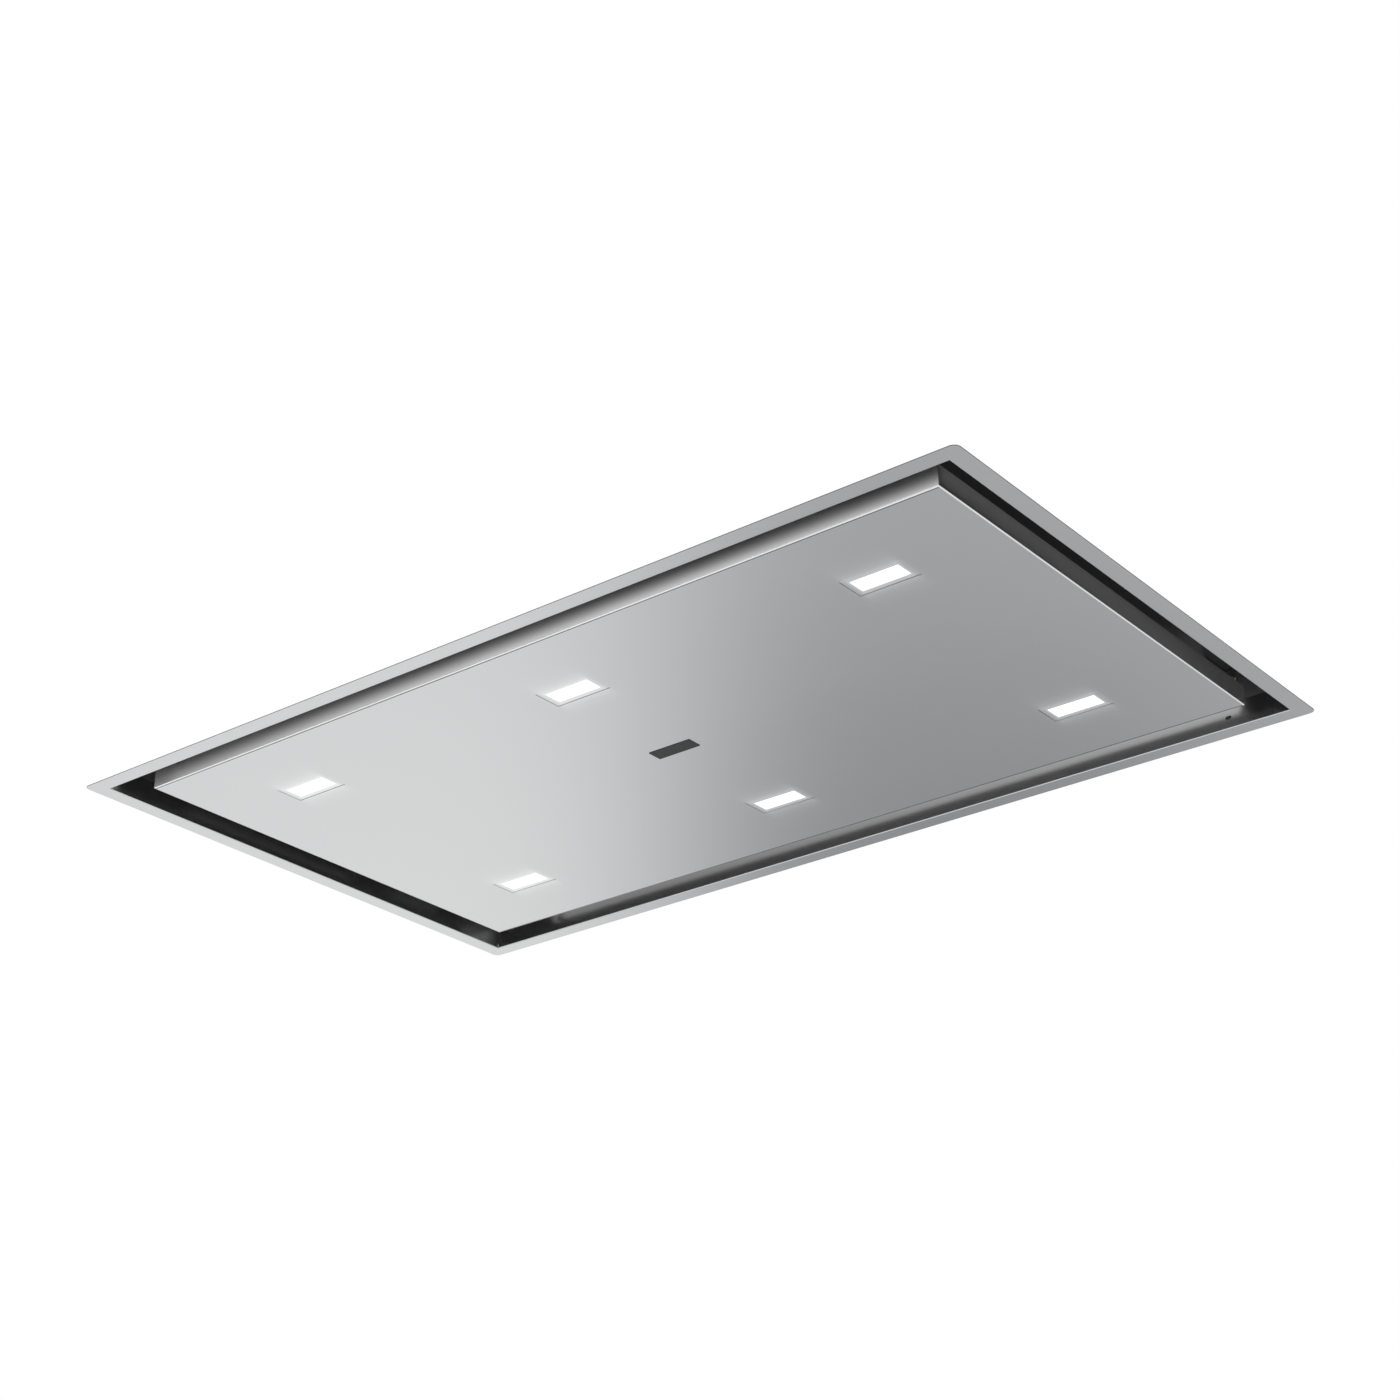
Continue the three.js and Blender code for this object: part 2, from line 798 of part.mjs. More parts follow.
function bladeShape(index) {
  const inner = wheelRadius - wheelDepth;
  const steps = 4;
  const front = [];
  const rear = [];
  for (let step = 0; step <= steps; step += 1) {
    const share = step / steps;
    const radius = inner + (wheelDepth - 1) * share;
    const angle = THREE.MathUtils.degToRad(bladeSweep * share * share);
    const half = bladeThickness / 2 / radius;
    front.push([radius * Math.cos(angle + half), radius * Math.sin(angle + half)]);
    rear.unshift([radius * Math.cos(angle - half), radius * Math.sin(angle - half)]);
  }
  const section = outline([...rear, ...front]);
  const blade = pulledUp(section, wheelBottom + 1, wheelTop - 1);
  return blade.rotateZ((index / bladeCount) * Math.PI * 2);
}

// a drum of blades on a back plate that dips round the motor
function wheelShape() {
  const inner = wheelRadius - wheelDepth;
  const lowerRing = turned([
    [inner, wheelBottom],
    [wheelRadius, wheelBottom],
    [wheelRadius, wheelBottom + wheelPlate],
    [inner, wheelBottom + wheelPlate],
  ]);
  const hubBottom = dishFloor - hubHeight;
  const bore = shaftRadius + seat;
  const dish = turned([
    [wheelRadius, wheelTop - wheelPlate],
    [wheelRadius, wheelTop],
    [dishRadius, wheelTop],
    [motorRadius + 4, dishFloor],
    [bore, dishFloor],
    [bore, hubBottom],
    [hubRadius, hubBottom],
    [hubRadius, dishFloor - wheelPlate],
    [motorRadius + 4 + wheelPlate, dishFloor - wheelPlate],
    [dishRadius + wheelPlate, wheelTop - wheelPlate],
  ]);
  let wheel = solid(lowerRing).add(solid(dish));
  for (let index = 0; index < bladeCount; index += 1) {
    wheel = wheel.add(solid(bladeShape(index)));
  }
  return shapeOf(wheel);
}

function motorShape() {
  return turned([
    [0, motorSeat + motorFlange + motorCap],
    [0, motorEnd + shaftSocket],
    [shaftRadius + seat, motorEnd + shaftSocket],
    [shaftRadius + seat, motorEnd],
    [motorRadius - 4, motorEnd],
    [motorRadius, motorEnd + 4],
    [motorRadius, motorSeat],
    [motorFlangeRadius, motorSeat],
    [motorFlangeRadius, motorSeat + motorFlange],
    [motorCapRadius, motorSeat + motorFlange],
    [motorCapRadius, motorSeat + motorFlange + motorCap],
  ]);
}

function shaftShape() {
  const top = motorEnd + shaftSocket - seat;
  return postZ(shaftRadius, 0, 0, top - shaftLength, top);
}

place('inlet_ring', inletRingShape(), greyPlastic);
place('fan_wheel', wheelShape(), greyPlastic);
place('fan_motor', motorShape(), motorMetal);
place('motor_shaft', shaftShape(), zincSteel);

// ---------------------------------------------------------------- outlet collar and flaps

function collarShape() {
  const plateHalf = collarPlate / 2;
  const plate = box(
    outletX,
    outletX + collarPlateThickness,
    outletY - plateHalf,
    outletY + plateHalf,
    outletZ - plateHalf,
    outletZ + plateHalf,
  );
  const tube = postX(collarRadius, outletX, collarEnd, outletY, outletZ, roundSteps);
  const bore = postX(collarBore, outletX - 1, collarEnd + 1, outletY, outletZ, roundSteps);
  return shapeOf(solid(plate).add(solid(tube)).subtract(solid(bore)));
}

// half a disc with a barrel on the pin; side is +1 or -1 along Y, and the barrel takes
// the upper or the lower half of the pin
function flapShape(side) {
  const radius = collarBore - flapEdgeGap;
  const inner = flapBarrelRadius + seat;
  const halfDisc = new THREE.Shape();
  halfDisc.absarc(0, 0, radius, -Math.PI / 2, Math.PI / 2);
  const disc = solid(pulledAlongX(halfDisc, -flapThickness / 2, flapThickness / 2, 16));
  const strip = solid(box(-5, 5, -1, inner, -radius - 1, radius + 1));
  const barrelLength = radius - 4;
  const barrel = solid(postZ(flapBarrelRadius, 0, 0, seat, barrelLength));
  const web = solid(box(-flapThickness / 2, flapThickness / 2, 3, inner + 1, seat, barrelLength));
  const bore = solid(postZ(flapPinRadius + seat, 0, 0, 0, radius));
  const flap = shapeOf(disc.subtract(strip).add(barrel).add(web).subtract(bore));
  return side > 0 ? flap : flap.rotateX(Math.PI);
}

function flapPinShape() {
  const reach = collarBore - 2 * seat;
  return postZ(flapPinRadius, 0, 0, -reach, reach);
}

place('outlet_collar', collarShape(), blackPlastic);
place('flap_pin', flapPinShape(), zincSteel, flapX, outletY, outletZ);
place('outlet_flap_1', flapShape(1), greyPlastic, flapX, outletY, outletZ);
place('outlet_flap_2', flapShape(-1), greyPlastic, flapX, outletY, outletZ);

// ---------------------------------------------------------------- control box

function controlBoxShape() {
  const halfX = controlLength / 2;
  const halfY = controlWidth / 2;
  const top = onCanopy + controlHeight;
  const floor = onCanopy + controlSheet;
  const inner = centredBox(halfX - controlSheet, halfY - controlSheet, floor, top + 1);
  const glandHole = postX(
    glandThreadRadius + seat,
    -halfX - 1,
    controlSheet * 2 - halfX,
    glandY,
    onCanopy + glandRise,
  );
  let shell = solid(centredBox(halfX, halfY, onCanopy, top)).subtract(solid(inner));
  shell = shell.subtract(solid(glandHole));
  for (const x of [boardPostInset - boardLength / 2, boardLength / 2 - boardPostInset]) {
    for (const y of [boardPostInset - boardWidth / 2, boardWidth / 2 - boardPostInset]) {
      const post = postZ(boardPostRadius, x, y, floor - 0.5, floor + boardStand - seat, 8);
      shell = shell.add(solid(post));
    }
  }
  return shapeOf(shell);
}

function controlLidShape() {
  const halfX = controlLength / 2 + seat;
  const halfY = controlWidth / 2 + seat;
  const underside = onCanopy + controlHeight + seat;
  const outer = centredBox(
    halfX + controlSheet,
    halfY + controlSheet,
    underside - controlLidLip,
    underside + controlSheet,
  );
  const inner = centredBox(halfX, halfY, 0, underside);
  return cut(outer, inner);
}

function boardShape() {
  const bottom = onCanopy + controlSheet + boardStand;
  return centredBox(boardLength / 2, boardWidth / 2, bottom, bottom + boardThickness);
}

// turned about its own axis, then laid along -X through the box's end wall
function glandShape() {
  const threadEnd = -controlSheet * 2 - 6;
  const gland = turned([
    [glandBoreRadius, threadEnd],
    [glandThreadRadius, threadEnd],
    [glandThreadRadius, seat],
    [glandNutRadius, seat],
    [glandNutRadius, glandNutLength],
    [glandDomeRadius, glandNutLength],
    [glandDomeRadius, glandLength - 4],
    [glandBoreRadius + 3, glandLength],
    [glandBoreRadius, glandLength],
  ], smallRoundSteps);
  return gland.rotateY(-Math.PI / 2);
}

const controlBox = new THREE.Group();
controlBox.position.set(controlFromEnd - canopyOuterX, canopyOuterY - controlFromSide, 0);
hood.add(controlBox);
place('control_box', controlBoxShape(), galvanisedSteel, 0, 0, 0, controlBox);
place('control_lid', controlLidShape(), galvanisedSteel, 0, 0, 0, controlBox);
place('control_board', boardShape(), boardGreen, 0, 0, 0, controlBox);
const glandHeight = onCanopy + glandRise;
place('cable_gland', glandShape(), blackPlastic, -controlLength / 2, glandY, glandHeight, controlBox);

// ---------------------------------------------------------------- lamp driver

function driverShape() {
  const halfX = driverLength / 2;
  const halfY = driverWidth / 2;
  const body = pulledUp(roundedRectangle(halfX, halfY, driverCorner), onCanopy, onCanopy + driverHeight);
  const ears = pulledUp(
    roundedRectangle(halfX + driverEar, halfY / 2, driverCorner),
    onCanopy,
    onCanopy + driverEarThickness,
  );
  return joined(body, ears);
}

const driverX = canopyOuterX - driverFromEnd;
const driverY = canopyOuterY - driverFromSide;
place('lamp_driver', driverShape(), blackPlastic, driverX, driverY);

// ---------------------------------------------------------------- hanger brackets

// a foot on the canopy, a riser, and a slotted tab outside it for a threaded rod
function hangerShape() {
  const half = hangerLength / 2;
  const top = onCanopy + hangerRise;
  const profile = outline([
    [-hangerFoot, onCanopy],
    [hangerPlate, onCanopy],
    [hangerPlate, top - hangerPlate],
    [hangerFoot + hangerPlate, top - hangerPlate],
    [hangerFoot + hangerPlate, top],
    [0, top],
    [0, onCanopy + hangerPlate],
    [-hangerFoot, onCanopy + hangerPlate],
  ]);
  const middle = hangerPlate + hangerFoot / 2;
  const slot = box(
    -hangerSlotLength / 2,
    hangerSlotLength / 2,
    middle - hangerSlotWidth / 2,
    middle + hangerSlotWidth / 2,
    top - hangerPlate - 1,
    top + 1,
  );
  return cut(pulledAlongX(profile, -half, half), slot);
}

const hangerX = canopyOuterX - hangerFromEnd;
const hangerY = canopyOuterY - hangerFromSide;
let hangerNumber = 0;
for (const side of [-1, 1]) {
  for (const end of [-1, 1]) {
    hangerNumber += 1;
    const hanger = place(`hanger_bracket_${hangerNumber}`, hangerShape(), galvanisedSteel);
    hanger.rotation.z = side > 0 ? 0 : Math.PI;
    hanger.position.set(end * hangerX, side * hangerY, 0);
  }
}

export default hood;
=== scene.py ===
import math

import bmesh
import bpy
from mathutils import Matrix, Vector


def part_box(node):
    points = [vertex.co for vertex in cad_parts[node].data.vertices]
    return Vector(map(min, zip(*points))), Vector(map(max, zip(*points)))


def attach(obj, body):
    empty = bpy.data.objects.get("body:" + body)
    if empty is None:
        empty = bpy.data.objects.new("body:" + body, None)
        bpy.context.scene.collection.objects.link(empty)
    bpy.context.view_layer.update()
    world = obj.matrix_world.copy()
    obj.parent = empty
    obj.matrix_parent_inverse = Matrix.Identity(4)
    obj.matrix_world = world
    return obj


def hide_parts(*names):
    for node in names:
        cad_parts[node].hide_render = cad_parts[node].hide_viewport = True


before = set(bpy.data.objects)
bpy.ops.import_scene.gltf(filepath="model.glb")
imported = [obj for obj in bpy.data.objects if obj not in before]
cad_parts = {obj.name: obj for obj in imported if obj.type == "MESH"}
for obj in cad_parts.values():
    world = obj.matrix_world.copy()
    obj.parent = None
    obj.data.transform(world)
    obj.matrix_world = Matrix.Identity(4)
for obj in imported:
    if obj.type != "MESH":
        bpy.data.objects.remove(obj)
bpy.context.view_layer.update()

MM = 0.001
SIDES = (-1, 1)
SQUARE = ((1, 1), (-1, 1), (-1, -1), (1, -1))


def add_object(name, data):
    thing = bpy.data.objects.new(name, data)
    bpy.context.scene.collection.objects.link(thing)
    return thing


# ---------- camera

CAMERA_PLACE = (1.6700, -2.0513, -1.2375)
CAMERA_HEADING = 38.662  # degrees from +Y towards -X
CAMERA_RISE = 26.184  # degrees above the horizon
CAMERA_ROLL = -0.058  # degrees
CAMERA_LENS = 67.355  # mm, on a sensor 36 mm wide


def make_camera():
    data = bpy.data.cameras.new("photo_camera")
    data.lens = CAMERA_LENS
    data.sensor_width = 36.0
    data.clip_start = 0.05
    data.clip_end = 60.0
    camera = add_object("photo_camera", data)
    camera.location = CAMERA_PLACE
    camera.rotation_euler = tuple(
        math.radians(angle) for angle in (90.0 + CAMERA_RISE, CAMERA_ROLL, CAMERA_HEADING)
    )
    bpy.context.scene.camera = camera


# ---------- sizes read from the frame

TRIM_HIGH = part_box("trim_frame")[1]
PANEL_LOW, PANEL_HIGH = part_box("panel_skin")
BACK_LOW, BACK_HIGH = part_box("panel_back")
CANOPY_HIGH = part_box("canopy_body")[1]
CARRIER_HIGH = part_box("filter_carrier")[1]
BLOWER_LOW, BLOWER_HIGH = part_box("blower_housing")
COLLAR_LOW, COLLAR_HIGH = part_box("outlet_collar")
GLAND_LOW, GLAND_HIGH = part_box("cable_gland")
LID_LOW, LID_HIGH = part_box("control_lid")
DRIVER_LOW, DRIVER_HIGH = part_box("lamp_driver")

FLANGE_WIDTH = 21 * MM
TRIM_SHEET = 1.2 * MM
TRIM_CORNER = 8 * MM
TRIM_BEND = 0.9 * MM
PANEL_SHEET = 1 * MM
PANEL_BEND = 1.4 * MM
HOLDING = 0.15 * MM  # a narrow strip beside a bend, which keeps the shading of the face even
HAIR = 0.01 * MM  # the slack in comparisons, and the corner radius of what is really sharp
OVERCUT = 1 * MM  # how far a cutting tool runs past what it cuts
BLOWER_SHEET = 1.2 * MM
BLOWER_FOOT = 20 * MM
HANGER_PLATE = 2.5 * MM
HANGER_FOOT = 32 * MM
COLLAR_PLATE = 2 * MM
DRIVER_EAR = 16 * MM
DRIVER_EAR_THICKNESS = 4 * MM
ARM_FOOT = 2 * MM
LEAF_SHEET = 1.5 * MM


# ---------- node helpers

def new_material(name, kind="ShaderNodeBsdfPrincipled"):
    material = bpy.data.materials.new(name)
    material.use_nodes = True
    tree = material.node_tree
    tree.nodes.clear()
    output = tree.nodes.new("ShaderNodeOutputMaterial")
    shader = tree.nodes.new(kind)
    tree.links.new(shader.outputs["BSDF"], output.inputs["Surface"])
    return material, tree, shader


def calculate(tree, operation, *values):
    node = tree.nodes.new("ShaderNodeMath")
    node.operation = operation
    for socket, value in zip(node.inputs, values):
        if isinstance(value, (int, float)):
            socket.default_value = value
        else:
            tree.links.new(value, socket)
    return node.outputs[0]


def object_place(tree):
    return tree.nodes.new("ShaderNodeTexCoord").outputs["Object"]


def separated(tree, vector):
    node = tree.nodes.new("ShaderNodeSeparateXYZ")
    tree.links.new(vector, node.inputs["Vector"])
    return node.outputs


def stretched_noise(tree, scale, detail=2.0):
    """Noise in the object's own coordinates, with a scale for each axis."""
    mapping = tree.nodes.new("ShaderNodeMapping")
    mapping.inputs["Scale"].default_value = scale
    noise = tree.nodes.new("ShaderNodeTexNoise")
    noise.inputs["Scale"].default_value = 1.0
    noise.inputs["Detail"].default_value = detail
    noise.inputs["Roughness"].default_value = 0.6
    tree.links.new(object_place(tree), mapping.inputs["Vector"])
    tree.links.new(mapping.outputs["Vector"], noise.inputs["Vector"])
    return noise.outputs["Fac"]


def ranged(tree, value, low, high, start=0.0, end=1.0, smooth=False):
    node = tree.nodes.new("ShaderNodeMapRange")
    if smooth:
        node.interpolation_type = "SMOOTHSTEP"
    limits = {"From Min": start, "From Max": end, "To Min": low, "To Max": high}
    for name, limit in limits.items():
        node.inputs[name].default_value = limit
    tree.links.new(value, node.inputs["Value"])
    return node.outputs["Result"]


def color_between(tree, value, dark, light):
    ramp = tree.nodes.new("ShaderNodeValToRGB")
    elements = ramp.color_ramp.elements
    for element, position, color in zip(elements, (0.3, 0.7), (dark, light)):
        element.position = position
        element.color = (*color, 1.0)
    tree.links.new(value, ramp.inputs["Fac"])
    return ramp.outputs["Color"]


def mixed_color(tree, factor, first, second):
    node = tree.nodes.new("ShaderNodeMix")
    node.data_type = "RGBA"
    tree.links.new(factor, node.inputs["Factor"])
    for name, value in (("A", first), ("B", second)):
        if isinstance(value, tuple):
            node.inputs[name].default_value = (*value, 1.0)
        else:
            tree.links.new(value, node.inputs[name])
    return node.outputs["Result"]


def color_by(tree, shader, pattern, dark, light):
    tree.links.new(color_between(tree, pattern, dark, light), shader.inputs["Base Color"])


def roughen_by(tree, shader, pattern, roughness, play):
    """Roughness that follows a pattern, by play to each side of its mean."""
    rough = ranged(tree, pattern, roughness - play, roughness + play)
    tree.links.new(rough, shader.inputs["Roughness"])


def whiten(tree, shader, share):
    """Mixes a share of plain white into a surface, for the camera only."""
    path = tree.nodes.new("ShaderNodeLightPath")
    white = tree.nodes.new("ShaderNodeEmission")
    mix = tree.nodes.new("ShaderNodeMixShader")
    output = next(node for node in tree.nodes if node.type == "OUTPUT_MATERIAL")
    seen = calculate(tree, "MULTIPLY", share, path.outputs["Is Camera Ray"])
    tree.links.new(seen, mix.inputs["Fac"])
    tree.links.new(shader.outputs["BSDF"], mix.inputs[1])
    tree.links.new(white.outputs["Emission"], mix.inputs[2])
    tree.links.new(mix.outputs["Shader"], output.inputs["Surface"])


def add_bump(tree, shader, height, strength, distance):
    bump = tree.nodes.new("ShaderNodeBump")
    bump.inputs["Strength"].default_value = strength
    bump.inputs["Distance"].default_value = distance
    tree.links.new(height, bump.inputs["Height"])
    tree.links.new(bump.outputs["Normal"], shader.inputs["Normal"])


COOL_CAST = (1.0, 1.003, 1.008)


def grey(value):
    return tuple(value * part for part in COOL_CAST)


# ---------- materials

GRAIN_ALONG_X = (6.0, 1400.0, 1400.0)
CLOUD_SHARE = 0.5  # how much the clouds count beside the brushed lines


def brushed_steel(name, tone=0.70, roughness=0.19, grain=GRAIN_ALONG_X, bump=0.03):
    """Stainless steel brushed along its long side: fine lines and faint cloudiness."""
    material, tree, shader = new_material(name)
    lines = stretched_noise(tree, grain)
    clouds = stretched_noise(tree, (3.0, 5.0, 5.0))
    mixed = calculate(tree, "MULTIPLY_ADD", clouds, CLOUD_SHARE, lines)
    mixed = calculate(tree, "DIVIDE", mixed, 1 + CLOUD_SHARE)
    color_by(tree, shader, mixed, grey(tone * 0.985), grey(tone * 1.015))
    roughen_by(tree, shader, mixed, roughness, 0.03)
    shader.inputs["Metallic"].default_value = 1.0
    add_bump(tree, shader, lines, bump, 0.04 * MM)
    return material


LAMP_PITCH = 400 * MM
LAMP_ROW = 183 * MM
# a painted glow round each lens: emission on the steel beside it
GLOW_REACH = 10 * MM
GLOW_STRENGTH = 0.22
GLOW_NARROWER = 3.0  # how much faster the glow fades along X
GLOW_FULL, GLOW_NONE = -0.95, -0.7  # the normal's Z of a face that glows fully, or not at all


def distance_past(tree, place, half):
    return calculate(tree, "MAXIMUM", calculate(tree, "SUBTRACT", place, half), 0.0)


def painted_lamp_glow(tree, lens_half):
    """Painted glow: emission on the steel beside the lit lenses, standing in for the light that
    spills from them.
    """
    axes = separated(tree, object_place(tree))
    across = calculate(tree, "WRAP", axes["X"], LAMP_PITCH / 2, -LAMP_PITCH / 2)
    across = distance_past(tree, calculate(tree, "ABSOLUTE", across), lens_half.x)
    along = calculate(tree, "SUBTRACT", calculate(tree, "ABSOLUTE", axes["Y"]), LAMP_ROW)
    along = distance_past(tree, calculate(tree, "ABSOLUTE", along), lens_half.y)
    across = calculate(tree, "MULTIPLY", across, GLOW_NARROWER)
    apart = calculate(tree, "SQRT", calculate(
        tree, "ADD", calculate(tree, "POWER", across, 2.0), calculate(tree, "POWER", along, 2.0)
    ))
    fade = calculate(tree, "EXPONENT", calculate(tree, "DIVIDE", apart, -GLOW_REACH))
    normal = separated(tree, tree.nodes.new("ShaderNodeTexCoord").outputs["Normal"])
    below = ranged(tree, normal["Z"], 1.0, 0.0, GLOW_FULL, GLOW_NONE)
    return calculate(tree, "MULTIPLY", calculate(tree, "MULTIPLY", fade, GLOW_STRENGTH), below)


# brushed steel with the painted glow round the lenses
def steel_with_painted_glow(name, lens_half):
    material = brushed_steel(name)
    tree = material.node_tree
    shader = next(node for node in tree.nodes if node.type == "BSDF_PRINCIPLED")
    shader.inputs["Emission Color"].default_value = (1.0, 1.0, 1.0, 1.0)
    tree.links.new(painted_lamp_glow(tree, lens_half), shader.inputs["Emission Strength"])
    return material


CRYSTALS_PER_METRE = 70.0


def galvanised(name, tone=0.52, roughness=0.42):
    """Zinc-coated sheet with its crystal pattern, cloudy and half matt."""
    material, tree, shader = new_material(name)
    cells = tree.nodes.new("ShaderNodeTexVoronoi")
    cells.inputs["Scale"].default_value = CRYSTALS_PER_METRE
    tree.links.new(object_place(tree), cells.inputs["Vector"])
    crystal = tree.nodes.new("ShaderNodeSeparateColor")
    tree.links.new(cells.outputs["Color"], crystal.inputs["Color"])
    clouds = stretched_noise(tree, (9.0,) * 3, detail=4.0)
    mixed = calculate(tree, "ADD", crystal.outputs["Red"], clouds)
    mixed = calculate(tree, "MULTIPLY", mixed, 0.5)
    color_by(tree, shader, mixed, grey(tone * 0.94), grey(tone * 1.04))
    roughen_by(tree, shader, mixed, roughness, 0.08)
    shader.inputs["Metallic"].default_value = 1.0
    add_bump(tree, shader, clouds, 0.05, 0.2 * MM)
    return material


def moulded_plastic(name, tone, roughness=0.5, tint=(1.0, 1.0, 1.0)):
    """Moulded plastic with a fine spark-eroded grain."""
    material, tree, shader = new_material(name)
    grain = stretched_noise(tree, (900.0,) * 3)
    clouds = stretched_noise(tree, (14.0,) * 3)
    dark = tuple(tone * 0.94 * part for part in tint)
    light = tuple(tone * 1.06 * part for part in tint)
    color_by(tree, shader, clouds, dark, light)
    roughen_by(tree, shader, grain, roughness, 0.06)
    add_bump(tree, shader, grain, 0.12, 0.1 * MM)
    return material


def zinc_plate(name, tone=0.56, roughness=0.34):
    """Zinc plating on small steel parts, with a faint yellow cast."""
    material, tree, shader = new_material(name)
    clouds = stretched_noise(tree, (60.0,) * 3, detail=4.0)
    yellowed = (tone * 0.93, tone * 0.92, tone * 0.88)
    color_by(tree, shader, clouds, yellowed, grey(tone * 1.05))
    roughen_by(tree, shader, clouds, roughness, 0.07)
    shader.inputs["Metallic"].default_value = 1.0
    add_bump(tree, shader, clouds, 0.05, 0.1 * MM)
    return material


def dark_paint(name, tone=0.045, roughness=0.36):
    """The near-black finish of the walls inside the hood, also used as painted shade inside the
    slot in the trim.
    """
    material, tree, shader = new_material(name)
    peel = stretched_noise(tree, (350.0,) * 3)
    color_by(tree, shader, peel, grey(tone * 0.9), grey(tone * 1.1))
    roughen_by(tree, shader, peel, roughness, 0.04)
    add_bump(tree, shader, peel, 0.06, 0.1 * MM)
    return material


def lit_lens(name, strength=0.55):
    """An opal lens with lit diodes behind it: an even white."""
    material, tree, shader = new_material(name)
    glow = stretched_noise(tree, (30.0,) * 3, detail=1.0)
    color = color_between(tree, glow, (0.985, 0.992, 1.0), (1.0, 1.0, 0.995))
    tree.links.new(color, shader.inputs["Base Color"])
    tree.links.new(color, shader.inputs["Emission Color"])
    shader.inputs["Emission Strength"].default_value = strength
    shader.inputs["Roughness"].default_value = 0.35
    return material


# ---------- mesh helpers

def object_from(name, build):
    mesh = bpy.data.meshes.new(name)
    work = bmesh.new()
    build(work)
    bmesh.ops.recalc_face_normals(work, faces=work.faces)
    work.to_mesh(mesh)
    work.free()
    return add_object(name, mesh)


def smooth_by_angle(piece, degrees):
    """Smooth faces, with every edge that is sharper than the angle kept sharp."""
    work = bmesh.new()
    work.from_mesh(piece.data)
    for face in work.faces:
        face.smooth = True
    limit = math.radians(degrees)
    for edge in work.edges:
        edge.smooth = len(edge.link_faces) == 2 and edge.calc_face_angle(0.0) < limit
    work.to_mesh(piece.data)
    work.free()


def apply_modifiers(piece):
    bpy.context.view_layer.update()
    graph = bpy.context.evaluated_depsgraph_get()
    mesh = bpy.data.meshes.new_from_object(piece.evaluated_get(graph))
    piece.modifiers.clear()
    piece.data = mesh


def cut_with(piece, build):
    """Cuts the volumes that build makes out of the piece."""
    tool = object_from("cutting_tool", build)
    cutter = piece.modifiers.new("cut", "BOOLEAN")
    cutter.object = tool
    cutter.operation = "DIFFERENCE"
    cutter.solver = "EXACT"
    apply_modifiers(piece)
    bpy.data.objects.remove(tool)


def add_bevel(piece, width, segments=2, degrees=40.0):
    bevel = piece.modifiers.new("eased_edges", "BEVEL")
    bevel.width = width
    bevel.segments = segments
    bevel.limit_method = "ANGLE"
    bevel.angle_limit = math.radians(degrees)
    bevel.use_clamp_overlap = True


def dress(piece, *materials):
    piece.data.materials.clear()
    for material in materials:
        piece.data.materials.append(material)


def finish_piece(piece, materials, body, replaced=()):
    dress(piece, *materials)
    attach(piece, body)
    if replaced:
        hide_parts(*replaced)


def make_piece(name, build, material, body, replaced=(), smooth=None):
    """A finished piece of one material, smoothed up to an angle in degrees if one is given."""
    piece = object_from(name, build)
    if smooth:
        smooth_by_angle(piece, smooth)
    finish_piece(piece, [material], body, replaced)


def rounded_ring(half_x, half_y, radius, z, steps):
    """Points of a rounded rectangle, the same number whatever its radius."""
    points = []
    for sign_x, sign_y, start in ((1, 1, 0), (-1, 1, 90), (-1, -1, 180), (1, -1, 270)):
        for step in range(steps + 1):
            angle = math.radians(start + 90.0 * step / steps)
            x = sign_x * (half_x - radius) + radius * math.cos(angle)
            y = sign_y * (half_y - radius) + radius * math.sin(angle)
            points.append(Vector((x, y, z)))
    return points


def join_loops(work, loops, closed=False):
    """Joins loops of points into a skin, closed on itself or else capped at both ends."""
    pairs = list(zip(loops, loops[1:]))
    if closed:
        pairs.append((loops[-1], loops[0]))
    count = len(loops[0])
    for lower, upper in pairs:
        for index in range(count):
            following = (index + 1) % count
            work.faces.new((lower[index], lower[following], upper[following], upper[index]))
    if not closed:
        work.faces.new(list(reversed(loops[0])))
        work.faces.new(loops[-1])


def sweep_rings(work, rings, closed=False, place=Matrix(), steps=6):
    """Joins rounded rectangles, each (half_x, half_y, radius, z), into a skin."""
    loops = []
    for ring in rings:
        points = rounded_ring(*ring, steps)
        loops.append([work.verts.new(place @ point) for point in points])
    join_loops(work, loops, closed)


def stack(work, levels, place, steps=24, closed=False):
    """Joins outlines round +Z, each (radius by angle, height) in millimetres, into a skin."""
    loops = []
    for radius_at, height in levels:
        loop = []
        for step in range(steps):
            angle = 2 * math.pi * step / steps
            radius = radius_at(angle)
            point = Vector((radius * math.cos(angle), radius * math.sin(angle), height))
            loop.append(work.verts.new(place @ (point * MM)))
        loops.append(loop)
    join_loops(work, loops, closed)


def circle(radius):
    return lambda angle: radius


def hexagon(half_flat):
    def radius_at(angle):
        turn = (angle + math.pi / 6) % (math.pi / 3) - math.pi / 6
        return half_flat / math.cos(turn)
    return radius_at


def square(half, corner):
    """A square with its corners cut back by corner, measured along the diagonal."""
    furthest = half * math.sqrt(2) - corner

    def radius_at(angle):
        return min(half / max(abs(math.cos(angle)), abs(math.sin(angle))), furthest)
    return radius_at


def facing(place, axis):
    """Stands what is built along +Z on a place, pointing along an axis."""
    turn = Vector(axis).to_track_quat("Z", "Y").to_matrix().to_4x4()
    return Matrix.Translation(Vector(place)) @ turn


def moved(x, y, z=0.0):
    return Matrix.Translation(Vector((x, y, z)))


def spread(low, high, count):
    """Evenly spaced places from low to high."""
    return [low + (high - low) * step / (count - 1) for step in range(count)]


def quarter_bend(radius, steps):
    """(inset from the wall, height) along a bend from a flat floor up to an upright wall."""
    angles = spread(0.0, math.pi / 2, steps + 1)
    return [(radius * (1 - math.sin(angle)), radius * (1 - math.cos(angle))) for angle in angles]


# ---------- trim frame

